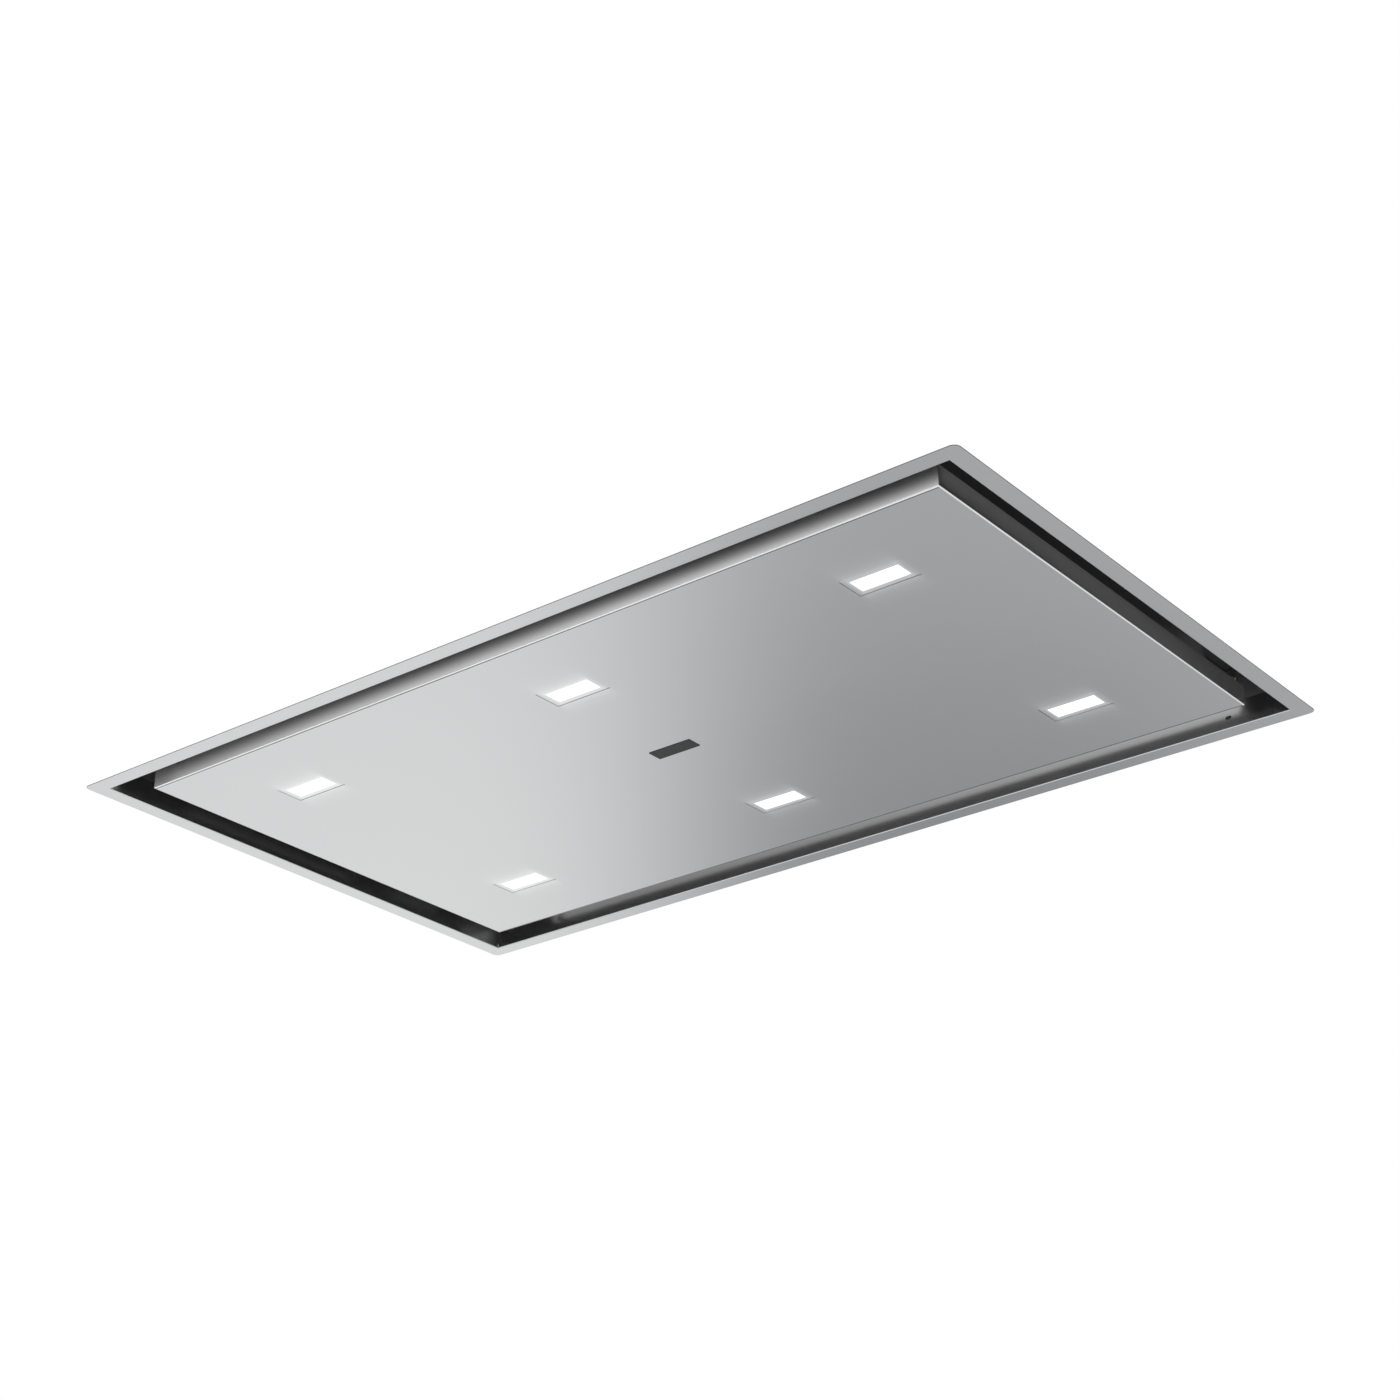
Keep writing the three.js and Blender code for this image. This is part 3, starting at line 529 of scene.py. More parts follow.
SEAM = 0.35 * MM  # the width of the open seams at the folded corners
TRIM_SEAM_START, TRIM_SEAM_REACH = 2.5 * MM, 3 * MM
SECOND_MATERIAL, THIRD_MATERIAL, FOURTH_MATERIAL = 1, 2, 3


def corner_seams(work, half_x, half_y, low, high, reach):
    """Thin upright blades on the diagonals of the four corners, which cut open seams."""
    half_height = (high - low) / 2
    rings = [(reach, SEAM / 2, HAIR, -half_height), (reach, SEAM / 2, HAIR, half_height)]
    for side_x, side_y in SQUARE:
        turn = Matrix.Rotation(math.radians(45.0 * side_x * side_y), 4, "Z")
        place = moved(side_x * half_x, side_y * half_y, (low + high) / 2) @ turn
        sweep_rings(work, rings, place=place, steps=1)


# the small slot in the far long wall: where it is, and its size
SLOT_X, SLOT_Z = 506 * MM, 13 * MM
SLOT_HALF_X, SLOT_HALF_Z = 3.5 * MM, 2 * MM
SLOT_CORNER = SLOT_HALF_Z * 0.9
SLOT_DEPTH = 1.05 * MM

SHADE_EDGE_DEPTH = 0.3 * MM  # how far in from the flange's outline the painted shade on its outer edge reaches
LEVEL, UPRIGHT = 0.9, 0.05  # the normal's Z of a face that lies level, or stands upright


def past_corner(x, y, half_x, half_y, radius):
    """How far a point lies outside a rounded rectangle, below zero inside it."""
    across = max(abs(x) - (half_x - radius), 0.0)
    along = max(abs(y) - (half_y - radius), 0.0)
    return math.hypot(across, along) - radius


def build_trim(steel, shade_edge, slot_shade):
    """The flange with its rounded outer corners, rolled at the opening into the upstand."""
    opening_x = TRIM_HIGH.x - FLANGE_WIDTH
    opening_y = TRIM_HIGH.y - FLANGE_WIDTH
    top = TRIM_HIGH.z
    ease = 0.2 * MM
    straight = FLANGE_WIDTH - TRIM_CORNER
    profile = [(TRIM_SHEET, top), (0.0, top), (0.0, TRIM_BEND + HOLDING)]
    profile += reversed(quarter_bend(TRIM_BEND, 5))
    profile += [
        (TRIM_BEND + HOLDING, 0.0),
        (straight, 0.0),
        (FLANGE_WIDTH - ease, 0.0),
        (FLANGE_WIDTH, ease),
        (FLANGE_WIDTH, TRIM_SHEET),
        (straight, TRIM_SHEET),
        (TRIM_SHEET, TRIM_SHEET),
    ]
    rings = []
    for offset, z in profile:
        radius = max(2 * HAIR, offset - straight)
        rings.append((opening_x + offset, opening_y + offset, radius, z))

    def build(work):
        sweep_rings(work, rings, closed=True, steps=8)

    def build_cuts(work):
        place = facing((SLOT_X, opening_y - OVERCUT, SLOT_Z), (0, 1, 0))
        depths = (0.0, OVERCUT + SLOT_DEPTH)
        slot = [(SLOT_HALF_X, SLOT_HALF_Z, SLOT_CORNER, depth) for depth in depths]
        sweep_rings(work, slot, place=place, steps=5)
        seam_end = top + OVERCUT
        corner_seams(work, opening_x, opening_y, TRIM_SEAM_START, seam_end, TRIM_SEAM_REACH)

    piece = object_from("trim_frame_rolled", build)
    cut_with(piece, build_cuts)
    smooth_by_angle(piece, 30.0)
    materials = [steel, shade_edge, slot_shade]
    finish_piece(piece, materials, "canopy", ["trim_frame"])
    for face in piece.data.polygons:
        x, y, z = face.center
        in_slot = abs(x - SLOT_X) < SLOT_HALF_X + HAIR and abs(z - SLOT_Z) < SLOT_HALF_Z + HAIR
        outside = past_corner(x, y, TRIM_HIGH.x, TRIM_HIGH.y, TRIM_CORNER)
        # the outer rim gets a dark copy of the steel: painted shade for the gap at the ceiling
        if outside > -SHADE_EDGE_DEPTH and abs(face.normal.z) < LEVEL:
            face.material_index = SECOND_MATERIAL
        # the inside of the slot takes the near-black finish as painted shade
        elif in_slot and opening_y + HAIR < y < opening_y + SLOT_DEPTH + HAIR:
            face.material_index = THIRD_MATERIAL


# ---------- panel

def lamp_places():
    places = []
    for number in range(1, 7):
        low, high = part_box(f"lamp_housing_{number}")
        places.append((number, (low + high) / 2, high - low))
    return places


DARK_LINE_WIDTH = 1.3 * MM  # the width of the painted dark line beside the bends of the long sides, a painted reflection
SIDE_DEPTH = 0.4 * MM  # how far in from the outline the outer faces of the sides may lie
PANEL_SEAM_START, PANEL_SEAM_REACH = 1.8 * MM, 2.2 * MM
LAMP_HOLE_CORNER = 0.8 * MM
LAMP_GROOVE_X = 0.35 * MM
LAMP_GROOVE_Y = 0.5 * MM
LAMP_RECESS = 0.2 * MM


def build_panel(face_steel, side_steel, bend_highlight_steel, dark_line_steel):
    """The tray: a flat face, rolled lower edges, and folded sides that meet at open seams."""
    half_x = PANEL_HIGH.x
    half_y = PANEL_HIGH.y
    floor = PANEL_LOW.z
    top = PANEL_HIGH.z
    corner = 0.3 * MM
    inner_corner = 0.05 * MM
    flat = PANEL_BEND + HOLDING
    outside = [(flat, 0.0)] + quarter_bend(PANEL_BEND, 7) + [(0.0, flat), (0.0, top - floor)]
    inside = [(0.0, top - floor - PANEL_SHEET)] + quarter_bend(PANEL_BEND - PANEL_SHEET, 3)[::-1]
    rings = [(half_x - flat - HOLDING, half_y - PANEL_BEND - DARK_LINE_WIDTH, corner, floor)]
    for inset, rise in outside:
        rings.append((half_x - inset, half_y - inset, corner, floor + rise))
    for inset, rise in inside:
        inset += PANEL_SHEET
        rings.append((half_x - inset, half_y - inset, inner_corner, floor + PANEL_SHEET + rise))

    def build(work):
        sweep_rings(work, rings, steps=3)

    def build_cuts(work):
        for _, middle, size in lamp_places():
            hole_x = size.x / 2 + LAMP_GROOVE_X / 2
            hole_y = size.y / 2 + LAMP_GROOVE_Y / 2
            levels = (floor - 2 * MM, floor + 3 * MM)
            hole = [(hole_x, hole_y, LAMP_HOLE_CORNER, level) for level in levels]
            sweep_rings(work, hole, place=moved(middle.x, middle.y), steps=3)
        seam_start = floor + PANEL_SEAM_START
        corner_seams(work, half_x, half_y, seam_start, top + OVERCUT, PANEL_SEAM_REACH)

    piece = object_from("panel_tray", build)
    cut_with(piece, build_cuts)
    add_bevel(piece, 0.25 * MM, 1, 60.0)
    apply_modifiers(piece)
    smooth_by_angle(piece, 30.0)
    materials = [face_steel, side_steel, bend_highlight_steel, dark_line_steel]
    finish_piece(piece, materials, "panel", ["panel_skin"])
    for face in piece.data.polygons:
        middle = face.center
        from_side = half_y - abs(middle.y)
        inset = min(half_x - abs(middle.x), from_side)
        in_bend = inset < PANEL_BEND and middle.z < floor + PANEL_BEND
        if abs(face.normal.z) < UPRIGHT and inset < SIDE_DEPTH:
            face.material_index = SECOND_MATERIAL
        # the rolled bends get a brighter copy of the steel: a painted highlight
        elif in_bend and face.normal.z < -UPRIGHT:
            face.material_index = THIRD_MATERIAL
        # a dark strip beside the bends of the long sides: a painted reflection
        elif middle.z < floor + HAIR and from_side < PANEL_BEND + DARK_LINE_WIDTH:
            face.material_index = FOURTH_MATERIAL


def build_badge(material):
    """A blank plate with a fine raised rim."""
    low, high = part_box("badge_plate")
    middle = (low + high) / 2
    half_x = (high.x - low.x) / 2
    half_y = (high.y - low.y) / 2
    rim = 0.9 * MM
    dip = 0.18 * MM
    rings = [
        (half_x - rim - dip, half_y - rim - dip, 0.5 * MM, low.z + dip),
        (half_x - rim, half_y - rim, 0.6 * MM, low.z),
        (half_x - dip, half_y - dip, 0.8 * MM, low.z),
        (half_x, half_y, 1.0 * MM, low.z + dip),
        (half_x, half_y, 1.0 * MM, high.z),
    ]

    def build(work):
        sweep_rings(work, rings, place=moved(middle.x, middle.y), steps=5)

    make_piece("blank_plate", build, material, "panel", ["badge_plate"])


def build_lamps(steel, opal):
    """Each lamp is a bezel just above the panel's face, with a shadow groove round it and an
    opal lens in it."""
    face = PANEL_LOW.z + LAMP_RECESS
    lip = 0.4 * MM  # how far the bezel reaches over the lens
    ease = 0.2 * MM
    ledge = 1.5 * MM
    inset = 3.5 * MM  # from the bezel's outline in to the body behind it
    edge = 0.25 * MM
    front = face + 0.1 * MM
    for number, middle, size in lamp_places():
        lens_low, lens_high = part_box(f"lamp_lens_{number}")
        lens_x = (lens_high.x - lens_low.x) / 2
        lens_y = (lens_high.y - lens_low.y) / 2
        top = PANEL_LOW.z + size.z
        half_x = size.x / 2 - LAMP_GROOVE_X / 2
        half_y = size.y / 2 - LAMP_GROOVE_Y / 2
        place = moved(middle.x, middle.y)
        bezel_rings = [
            (lens_x - lip, lens_y - lip, 0.5 * MM, lens_high.z + lip),
            (lens_x - lip, lens_y - lip, 0.5 * MM, face + ease),
            (lens_x - lip + ease, lens_y - lip + ease, 0.7 * MM, face),
            (half_x - ease, half_y - ease, 0.5 * MM, face),
            (half_x, half_y, 0.7 * MM, face + ease),
            (half_x, half_y, 0.7 * MM, face + ledge),
            (half_x - inset, half_y - inset, 1.0 * MM, face + ledge),
            (half_x - inset, half_y - inset, 1.0 * MM, top - 1.0 * MM),
            (half_x - inset - 1.0 * MM, half_y - inset - 1.0 * MM, 1.0 * MM, top),
        ]
        window_x = lens_x - lip - 0.05 * MM
        window_y = lens_y - lip - 0.05 * MM
        lens_rings = [
            (window_x, window_y, 0.5 * MM, lens_high.z),
            (window_x, window_y, 0.5 * MM, front + edge),
            (window_x - edge, window_y - edge, 0.6 * MM, front + 0.05 * MM),
            (window_x - 3 * MM, window_y - 3 * MM, 0.6 * MM, front),
        ]
        for name, rings, material, slot, node, smooth in (
            ("lamp_bezel", bezel_rings, steel, "brushed_stainless", "lamp_housing", 30.0),
            ("opal_lens", lens_rings, opal, "lamp_opal", "lamp_lens", 50.0),
        ):
            def build(work):
                sweep_rings(work, rings, place=place, steps=4)

            replaced = [f"{node}_{number}"]
            make_piece(f"{name}_{number}", build, material, "panel", replaced, smooth)


# ---------- screws and rivets

SINK = 0.3  # mm that a screw, rivet or rib reaches into the sheet under it

# the outlines of a self-tapping screw with a hexagon head on its own washer, a pan-head screw
# with a hexagon socket, and a blind rivet with the stub of its mandrel in a small hole
HEX_SCREW = (
    (circle(4.6), -SINK),
    (circle(4.6), 0.6),
    (circle(4.3), 0.9),
    (hexagon(3.5), 1.0),
    (hexagon(3.5), 3.3),
    (circle(3.2), 3.8),
    (circle(2.3), 3.8),
    (circle(2.1), 3.5),
)
PAN_SCREW = (
    (circle(3.5), -SINK),
    (circle(3.5), 0.5),
    (circle(3.1), 1.3),
    (circle(2.3), 1.9),
    (circle(1.7), 2.0),
    (hexagon(1.3), 1.9),
    (hexagon(1.3), 0.7),
)
RIVET = (
    (circle(3.2), -SINK),
    (circle(3.2), 0.15),
    (circle(2.7), 0.75),
    (circle(1.7), 1.1),
    (circle(0.95), 1.15),
    (circle(0.9), 0.5),
)


def fasteners(name, outlines, places, material, body):
    def build(work):
        for place, axis in places:
            stack(work, outlines, facing(place, axis), steps=16 if outlines is RIVET else 24)

    make_piece(name, build, material, body, smooth=30.0)


UP = (0, 0, 1)

# how far the outermost screws and rivets of a row lie from the hood's middle
FOOT_SCREWS = 180 * MM
LONG_RIVETS, SHORT_RIVETS = 520 * MM, 280 * MM

# levels of rivets: those of the trim frame, and those of the carrier, from its upper edge
TRIM_RIVET_LEVEL = 19 * MM
CARRIER_RIVET_DROP = 7 * MM

# from the edge of a piece in to its screws or rivets
HANGER_INSET = 13 * MM
SEAM_INSET = 9 * MM
SEAM_BOTTOM, SEAM_TOP = 25 * MM, 20 * MM
ARM_INSET, ARM_DROP = 6 * MM, 11 * MM
COLLAR_INSET = 9 * MM
LID_INSET = 14 * MM
BACK_INSET = 12 * MM
LEAF_INSET = 9 * MM
LEAF_RIVETS = 12 * MM  # either way from the leaf's middle


def carcass_fasteners(zinc):
    foot_top = BLOWER_LOW.z + BLOWER_SHEET
    foot_x = BLOWER_HIGH.x - BLOWER_FOOT / 2
    foot_y = BLOWER_HIGH.y - BLOWER_FOOT / 2
    hexes = []
    for along in spread(-FOOT_SCREWS, FOOT_SCREWS, 4):
        for side in SIDES:
            hexes.append(((along, side * foot_y, foot_top), UP))
            hexes.append(((side * foot_x, along, foot_top), UP))
    for number in range(1, 5):
        low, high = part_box(f"hanger_bracket_{number}")
        side = 1 if low.y > 0 else -1
        inner = low.y if side > 0 else high.y
        y = inner + side * HANGER_FOOT / 2
        for x in (low.x + HANGER_INSET, high.x - HANGER_INSET):
            hexes.append(((x, y, low.z + HANGER_PLATE), UP))
    fasteners("carcass_screws", HEX_SCREW, hexes, zinc, "canopy")

    rivets = []
    for side in SIDES:
        for level in (CARRIER_HIGH.z - CARRIER_RIVET_DROP, TRIM_RIVET_LEVEL):
            for x in spread(-LONG_RIVETS, LONG_RIVETS, 7):
                rivets.append(((x, side * CANOPY_HIGH.y, level), (0, side, 0)))
            for y in spread(-SHORT_RIVETS, SHORT_RIVETS, 4):
                rivets.append(((side * CANOPY_HIGH.x, y, level), (side, 0, 0)))
    seam_x = BLOWER_HIGH.x - BLOWER_FOOT - SEAM_INSET
    wall_y = BLOWER_HIGH.y - BLOWER_FOOT
    for z in spread(BLOWER_LOW.z + SEAM_BOTTOM, BLOWER_HIGH.z - SEAM_TOP, 4):
        for end, side in SQUARE:
            rivets.append(((end * seam_x, side * wall_y, z), (0, side, 0)))
    arm_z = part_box("hinge_arm_1")[1].z - ARM_DROP
    for number in (1, 2):
        low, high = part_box(f"hinge_arm_{number}")
        for x in (low.x + ARM_INSET, high.x - ARM_INSET):
            rivets.append(((x, high.y - ARM_FOOT, arm_z), (0, -1, 0)))
    fasteners("carcass_rivets", RIVET, rivets, zinc, "canopy")

    pans = []
    middle = (COLLAR_LOW + COLLAR_HIGH) / 2
    reach = (COLLAR_HIGH.y - COLLAR_LOW.y) / 2 - COLLAR_INSET
    plate = COLLAR_LOW.x + COLLAR_PLATE
    for side_y, side_z in SQUARE:
        place = (plate, middle.y + side_y * reach, middle.z + side_z * reach)
        pans.append((place, (1, 0, 0)))
    for x in (LID_LOW.x + LID_INSET, LID_HIGH.x - LID_INSET):
        for y in (LID_LOW.y + LID_INSET, LID_HIGH.y - LID_INSET):
            pans.append(((x, y, LID_HIGH.z), UP))
    driver_y = (DRIVER_LOW.y + DRIVER_HIGH.y) / 2
    for x in (DRIVER_LOW.x + DRIVER_EAR / 2, DRIVER_HIGH.x - DRIVER_EAR / 2):
        pans.append(((x, driver_y, DRIVER_LOW.z + DRIVER_EAR_THICKNESS), UP))
    fasteners("cover_screws", PAN_SCREW, pans, zinc, "canopy")


def panel_fasteners(zinc):
    level = BACK_HIGH.z
    left, right = BACK_LOW.x + BACK_INSET, BACK_HIGH.x - BACK_INSET
    near, far = BACK_LOW.y + BACK_INSET, BACK_HIGH.y - BACK_INSET
    pans = []
    for x in spread(left, right, 7):
        pans += [((x, near, level), UP), ((x, far, level), UP)]
    for y in spread(near, far, 4)[1:-1]:
        pans += [((left, y, level), UP), ((right, y, level), UP)]
    fasteners("back_cover_screws", PAN_SCREW, pans, zinc, "panel")
    rivets = []
    for number in (1, 2):
        low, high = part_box(f"hinge_leaf_{number}")
        middle = (low.x + high.x) / 2
        for x in (middle - LEAF_RIVETS, middle + LEAF_RIVETS):
            rivets.append(((x, low.y + LEAF_INSET, level + LEAF_SHEET), UP))
    fasteners("leaf_rivets", RIVET, rivets, zinc, "panel")


# ---------- ribs, collar, gland and mesh

RIB_HALF_WIDTH = 4.5 * MM
RIB_HEIGHT = 2.2 * MM

# three short ribs near each near corner of the canopy's top, and a long one along each long edge
SHORT_RIB, SHORT_RIB_X = 250 * MM, 395 * MM
SHORT_RIB_ROWS = (-190 * MM, -160 * MM, -130 * MM)
LONG_RIB, LONG_RIB_Y = 620 * MM, 285 * MM

# the rings on the blower housing: half sizes and corner radius
ROOF_RING = (160 * MM, 160 * MM, 40 * MM)
WALL_RING = (150 * MM, 60 * MM, 25 * MM)


def bead(work, length, place):
    """A long pressed rib with round ends."""
    half = RIB_HALF_WIDTH
    rings = [(length / 2, half, half - HAIR, -SINK * MM)]
    for angle in spread(0.0, math.pi / 2, 5):
        inset = half * 0.75 * (1 - math.cos(angle))
        z = RIB_HEIGHT * math.sin(angle)
        rings.append((length / 2 - inset, half - inset, half - inset - HAIR, z))
    sweep_rings(work, rings, place=place)


def ring_bead(work, half_x, half_y, corner, place):
    """A pressed rib that runs round a rounded rectangle."""
    section = [(-RIB_HALF_WIDTH, -SINK * MM)]
    for angle in spread(0.0, math.pi, 9):
        section.append((-RIB_HALF_WIDTH * math.cos(angle), RIB_HEIGHT * math.sin(angle)))
    section.append((RIB_HALF_WIDTH, -SINK * MM))
    rings = [(half_x + out, half_y + out, corner + out, z) for out, z in section]
    sweep_rings(work, rings, closed=True, place=place, steps=8)


def carcass_beads(material):
    top = CANOPY_HIGH.z

    def build(work):
        for side in SIDES:
            for y in SHORT_RIB_ROWS:
                bead(work, SHORT_RIB, moved(side * SHORT_RIB_X, y, top))
            bead(work, LONG_RIB, moved(0, side * LONG_RIB_Y, top))
        ring_bead(work, *ROOF_RING, moved(0, 0, BLOWER_HIGH.z - HAIR - RIB_HEIGHT))

    def build_walls(work):
        wall = BLOWER_HIGH.x - BLOWER_FOOT
        middle = (BLOWER_LOW.z + BLOWER_HIGH.z) / 2
        for axis in ((0, 1, 0), (0, -1, 0), (-1, 0, 0)):
            place = facing(Vector(axis) * wall + Vector((0, 0, middle)), axis)
            ring_bead(work, *WALL_RING, place)

    for name, shape in (("pressed_ribs", build), ("pressed_wall_ribs", build_walls)):
        make_piece(name, shape, material, "canopy", smooth=40.0)


# radii, and the ribs' distances from the collar's end, in millimetres
COLLAR_OUTER, COLLAR_BORE = 74.5, 72.5
COLLAR_RIBS = (20, 9)


def build_collar(material):
    """The outlet collar: a square plate and a tube with two sealing ribs near its end."""
    middle = (COLLAR_LOW + COLLAR_HIGH) / 2
    place = facing((COLLAR_LOW.x, middle.y, middle.z), (1, 0, 0))
    plate_half = (COLLAR_HIGH.y - COLLAR_LOW.y) / 2 / MM
    plate = COLLAR_PLATE / MM
    length = (COLLAR_HIGH.x - COLLAR_LOW.x) / MM
    outer, bore, ease = COLLAR_OUTER, COLLAR_BORE, 0.5
    levels = [
        (circle(bore), 0.0),
        (square(plate_half - ease, 2.5), 0.0),
        (square(plate_half, 3), ease),
        (square(plate_half, 3), plate - ease),
        (square(plate_half - ease, 2.5), plate),
        (circle(outer + 3), plate),
        (circle(outer + 0.9), plate + 0.9),
        (circle(outer), plate + 3),
    ]
    for from_end in COLLAR_RIBS:
        for rise, along in ((0.0, -1.4), (0.9, -0.7), (0.9, 0.7), (0.0, 1.4)):
            levels.append((circle(outer + rise), length - from_end + along))
    levels += [
        (circle(outer), length - 1.0),
        (circle(outer - 0.7), length),
        (circle(bore + 0.4), length),
        (circle(bore), length - 0.4),
    ]

    def build(work):
        stack(work, levels, place, steps=96, closed=True)

    make_piece("duct_collar", build, material, "canopy", ["outlet_collar"], 35.0)


# the gland's sizes in millimetres
THREAD_TURNS, THREAD_PITCH = 5, 1.5
GLAND_INNER_END = 8
GLAND_BORE = 4.5


def ribbed(radius):
    return lambda angle: radius * (1 + 0.018 * math.cos(12 * angle))


def build_gland(material):
    """A cable gland: a threaded end inside the box, a hexagon body and a ribbed dome nut."""
    middle = (GLAND_LOW + GLAND_HIGH) / 2
    wall = GLAND_HIGH.x - GLAND_INNER_END * MM
    place = facing((wall, middle.y, middle.z), (-1, 0, 0))
    length = (wall - GLAND_LOW.x) / MM
    levels = [(circle(GLAND_BORE), -GLAND_INNER_END), (circle(8.4), -GLAND_INNER_END)]
    for turn in range(THREAD_TURNS):
        start = -GLAND_INNER_END + THREAD_PITCH * turn
        levels += [(circle(9), start + 0.8), (circle(8.5), start + 1.5)]
    levels += [
        (circle(9), 0.3),
        (hexagon(11.6), 0.3),
        (hexagon(12), 0.9),
        (hexagon(12), 8.4),
        (hexagon(11.2), 9),
        (circle(9.8), 9.1),
        (circle(9.8), 10),
        (ribbed(10.5), 10.4),
        (ribbed(10.5), 19.5),
        (ribbed(10.0), 21.5),
        (circle(8.8), 23.8),
        (circle(7.2), length - 0.4),
        (circle(6.2), length),
        (circle(GLAND_BORE), length),
    ]

    def build(work):
        stack(work, levels, place, steps=72, closed=True)

    make_piece("dome_gland", build, material, "canopy", ["cable_gland"], 35.0)


MESH_PITCH_X = 12 * MM
MESH_PITCH_Y = 5 * MM
STRAND_WIDTH = 1.1 * MM
STRAND_THICKNESS = 0.6 * MM
SHEET_INSET = 0.9 * MM  # from the filter's faces in to the outer sheets

# a strand's slanted section, in widths across and thicknesses up
STRAND_SECTION = ((-0.5, -1.0), (0.5, -0.4), (0.5, 1.0), (-0.5, 0.4))


def expanded_sheet(work, low, high, level, shift):
    """One sheet of expanded metal: rows of zigzag strands that meet their neighbours."""
    rows = int((high.y - low.y) / MESH_PITCH_Y)
    columns = int((high.x - low.x) / (MESH_PITCH_X / 2))
    amplitude = (MESH_PITCH_Y - STRAND_WIDTH * 0.7) / 2
    for row in range(rows):
        y = low.y + (row + 0.5) * MESH_PITCH_Y
        sections = []
        for column in range(columns):
            side = 1 if (row + column + shift) % 2 else -1
            x = low.x + (column + 0.5) * MESH_PITCH_X / 2
            centre = y + side * amplitude
            sections.append([
                work.verts.new((x, centre + across * STRAND_WIDTH, level + up * STRAND_THICKNESS))
                for across, up in STRAND_SECTION
            ])
        join_loops(work, sections)


def build_filters(material):
    for number in (1, 2, 3):
        low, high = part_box(f"filter_mesh_{number}")

        def build(work):
            expanded_sheet(work, low, high, low.z + SHEET_INSET, 0)
            expanded_sheet(work, low, high, (low.z + high.z) / 2, 1)
            expanded_sheet(work, low, high, high.z - SHEET_INSET, 0)

        replaced = [f"filter_mesh_{number}"]
        name = f"expanded_mesh_{number}"
        make_piece(name, build, material, "canopy", replaced)


# ---------- CAD pieces that keep their shape

# material and width of the eased edges in millimetres, by a node's name without its number
NODE_FINISHES = {
    "canopy_body": ("galvanised", 0.8),
    "blower_housing": ("galvanised", 0.8),
    "hanger_bracket": ("galvanised", 0.5),
    "control_box": ("galvanised", 0.4),
    "control_lid": ("galvanised", 0.4),
    "panel_back": ("galvanised", 0.3),
    "filter_carrier": ("dark_inside", 0.3),
    "filter_frame": ("aluminium", 0.5),
    "lamp_driver": ("black", 0.8),
    "magnet_catch": ("black", 0.8),
    "filter_latch": ("black", 0.4),
    "scroll_housing": ("black", 0.0),
    "inlet_ring": ("grey", 0.0),
    "fan_wheel": ("grey", 0.0),
    "outlet_flap": ("grey", 0.2),
    "fan_motor": ("motor", 0.0),
    "motor_shaft": ("zinc", 0.0),
    "flap_pin": ("zinc", 0.0),
    "hinge_arm": ("zinc", 0.3),
    "hinge_leaf": ("zinc", 0.2),
    "hinge_pin": ("zinc", 0.2),
    "strike_plate": ("zinc", 0.2),
    "control_board": ("board", 0.1),
}


def dress_nodes(materials):
    for name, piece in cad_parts.items():
        kind = name.rstrip("_0123456789")
        if kind in NODE_FINISHES:
            material, bevel = NODE_FINISHES[kind]
            dress(piece, materials[material])
            if bevel:
                add_bevel(piece, bevel * MM)


# ---------- surroundings

CEILING_LEVEL = TRIM_SHEET - 0.55 * MM
CEILING_OVERLAP = 10 * MM  # how far it reaches in over the flange
CEILING_REACH = 9.0


def build_ceiling():
    """A plain white ceiling round the trim. It shows only from below, so that the rest
    of the hood can be seen from above, and it takes no part in lighting the hood."""
    material, tree, clear = new_material("ceiling_white", "ShaderNodeBsdfTransparent")
    side = tree.nodes.new("ShaderNodeNewGeometry")
    whiten(tree, clear, calculate(tree, "SUBTRACT", 1.0, side.outputs["Backfacing"]))
    opening = (TRIM_HIGH.x - CEILING_OVERLAP, TRIM_HIGH.y - CEILING_OVERLAP)
    corners = []
    for half_x, half_y in (opening, (CEILING_REACH, CEILING_REACH)):
        corners += [(x * half_x, y * half_y, CEILING_LEVEL) for x, y in SQUARE]
    faces = [(index, (index + 1) % 4, (index + 1) % 4 + 4, index + 4) for index in range(4)]
    mesh = bpy.data.meshes.new("ceiling")
    mesh.from_pydata(corners, [], faces)
    mesh.update()
    if mesh.polygons[0].normal.z > 0:
        mesh.flip_normals()
    ceiling = add_object("ceiling", mesh)
    dress(ceiling, material)
    ceiling.visible_shadow = False
    ceiling.visible_diffuse = False
    ceiling.visible_glossy = False
    ceiling.visible_transmission = False


FLOOR_HEIGHT = -3.6
FLOOR_REACH = 3.0
FLOOR_FADE = 1.2  # how far in from its edge the floor fades into the white background


def build_floor():
    material, tree, shader = new_material("floor_pale")
    color_by(tree, shader, stretched_noise(tree, (3.0,) * 3), grey(0.80), grey(0.84))
    shader.inputs["Roughness"].default_value = 0.9
    length = tree.nodes.new("ShaderNodeVectorMath")
    length.operation = "LENGTH"
    tree.links.new(object_place(tree), length.inputs[0])
    start = math.hypot(FLOOR_REACH - FLOOR_FADE, FLOOR_HEIGHT)
    end = math.hypot(FLOOR_REACH, FLOOR_HEIGHT)
    whiten(tree, shader, ranged(tree, length.outputs["Value"], 0.0, 1.0, start, end, True))
    mesh = bpy.data.meshes.new("floor")
    corners = [(x * FLOOR_REACH, y * FLOOR_REACH, FLOOR_HEIGHT) for x, y in SQUARE]
    mesh.from_pydata(corners, [], [(0, 1, 2, 3)])
    floor = add_object("floor", mesh)
    dress(floor, material)


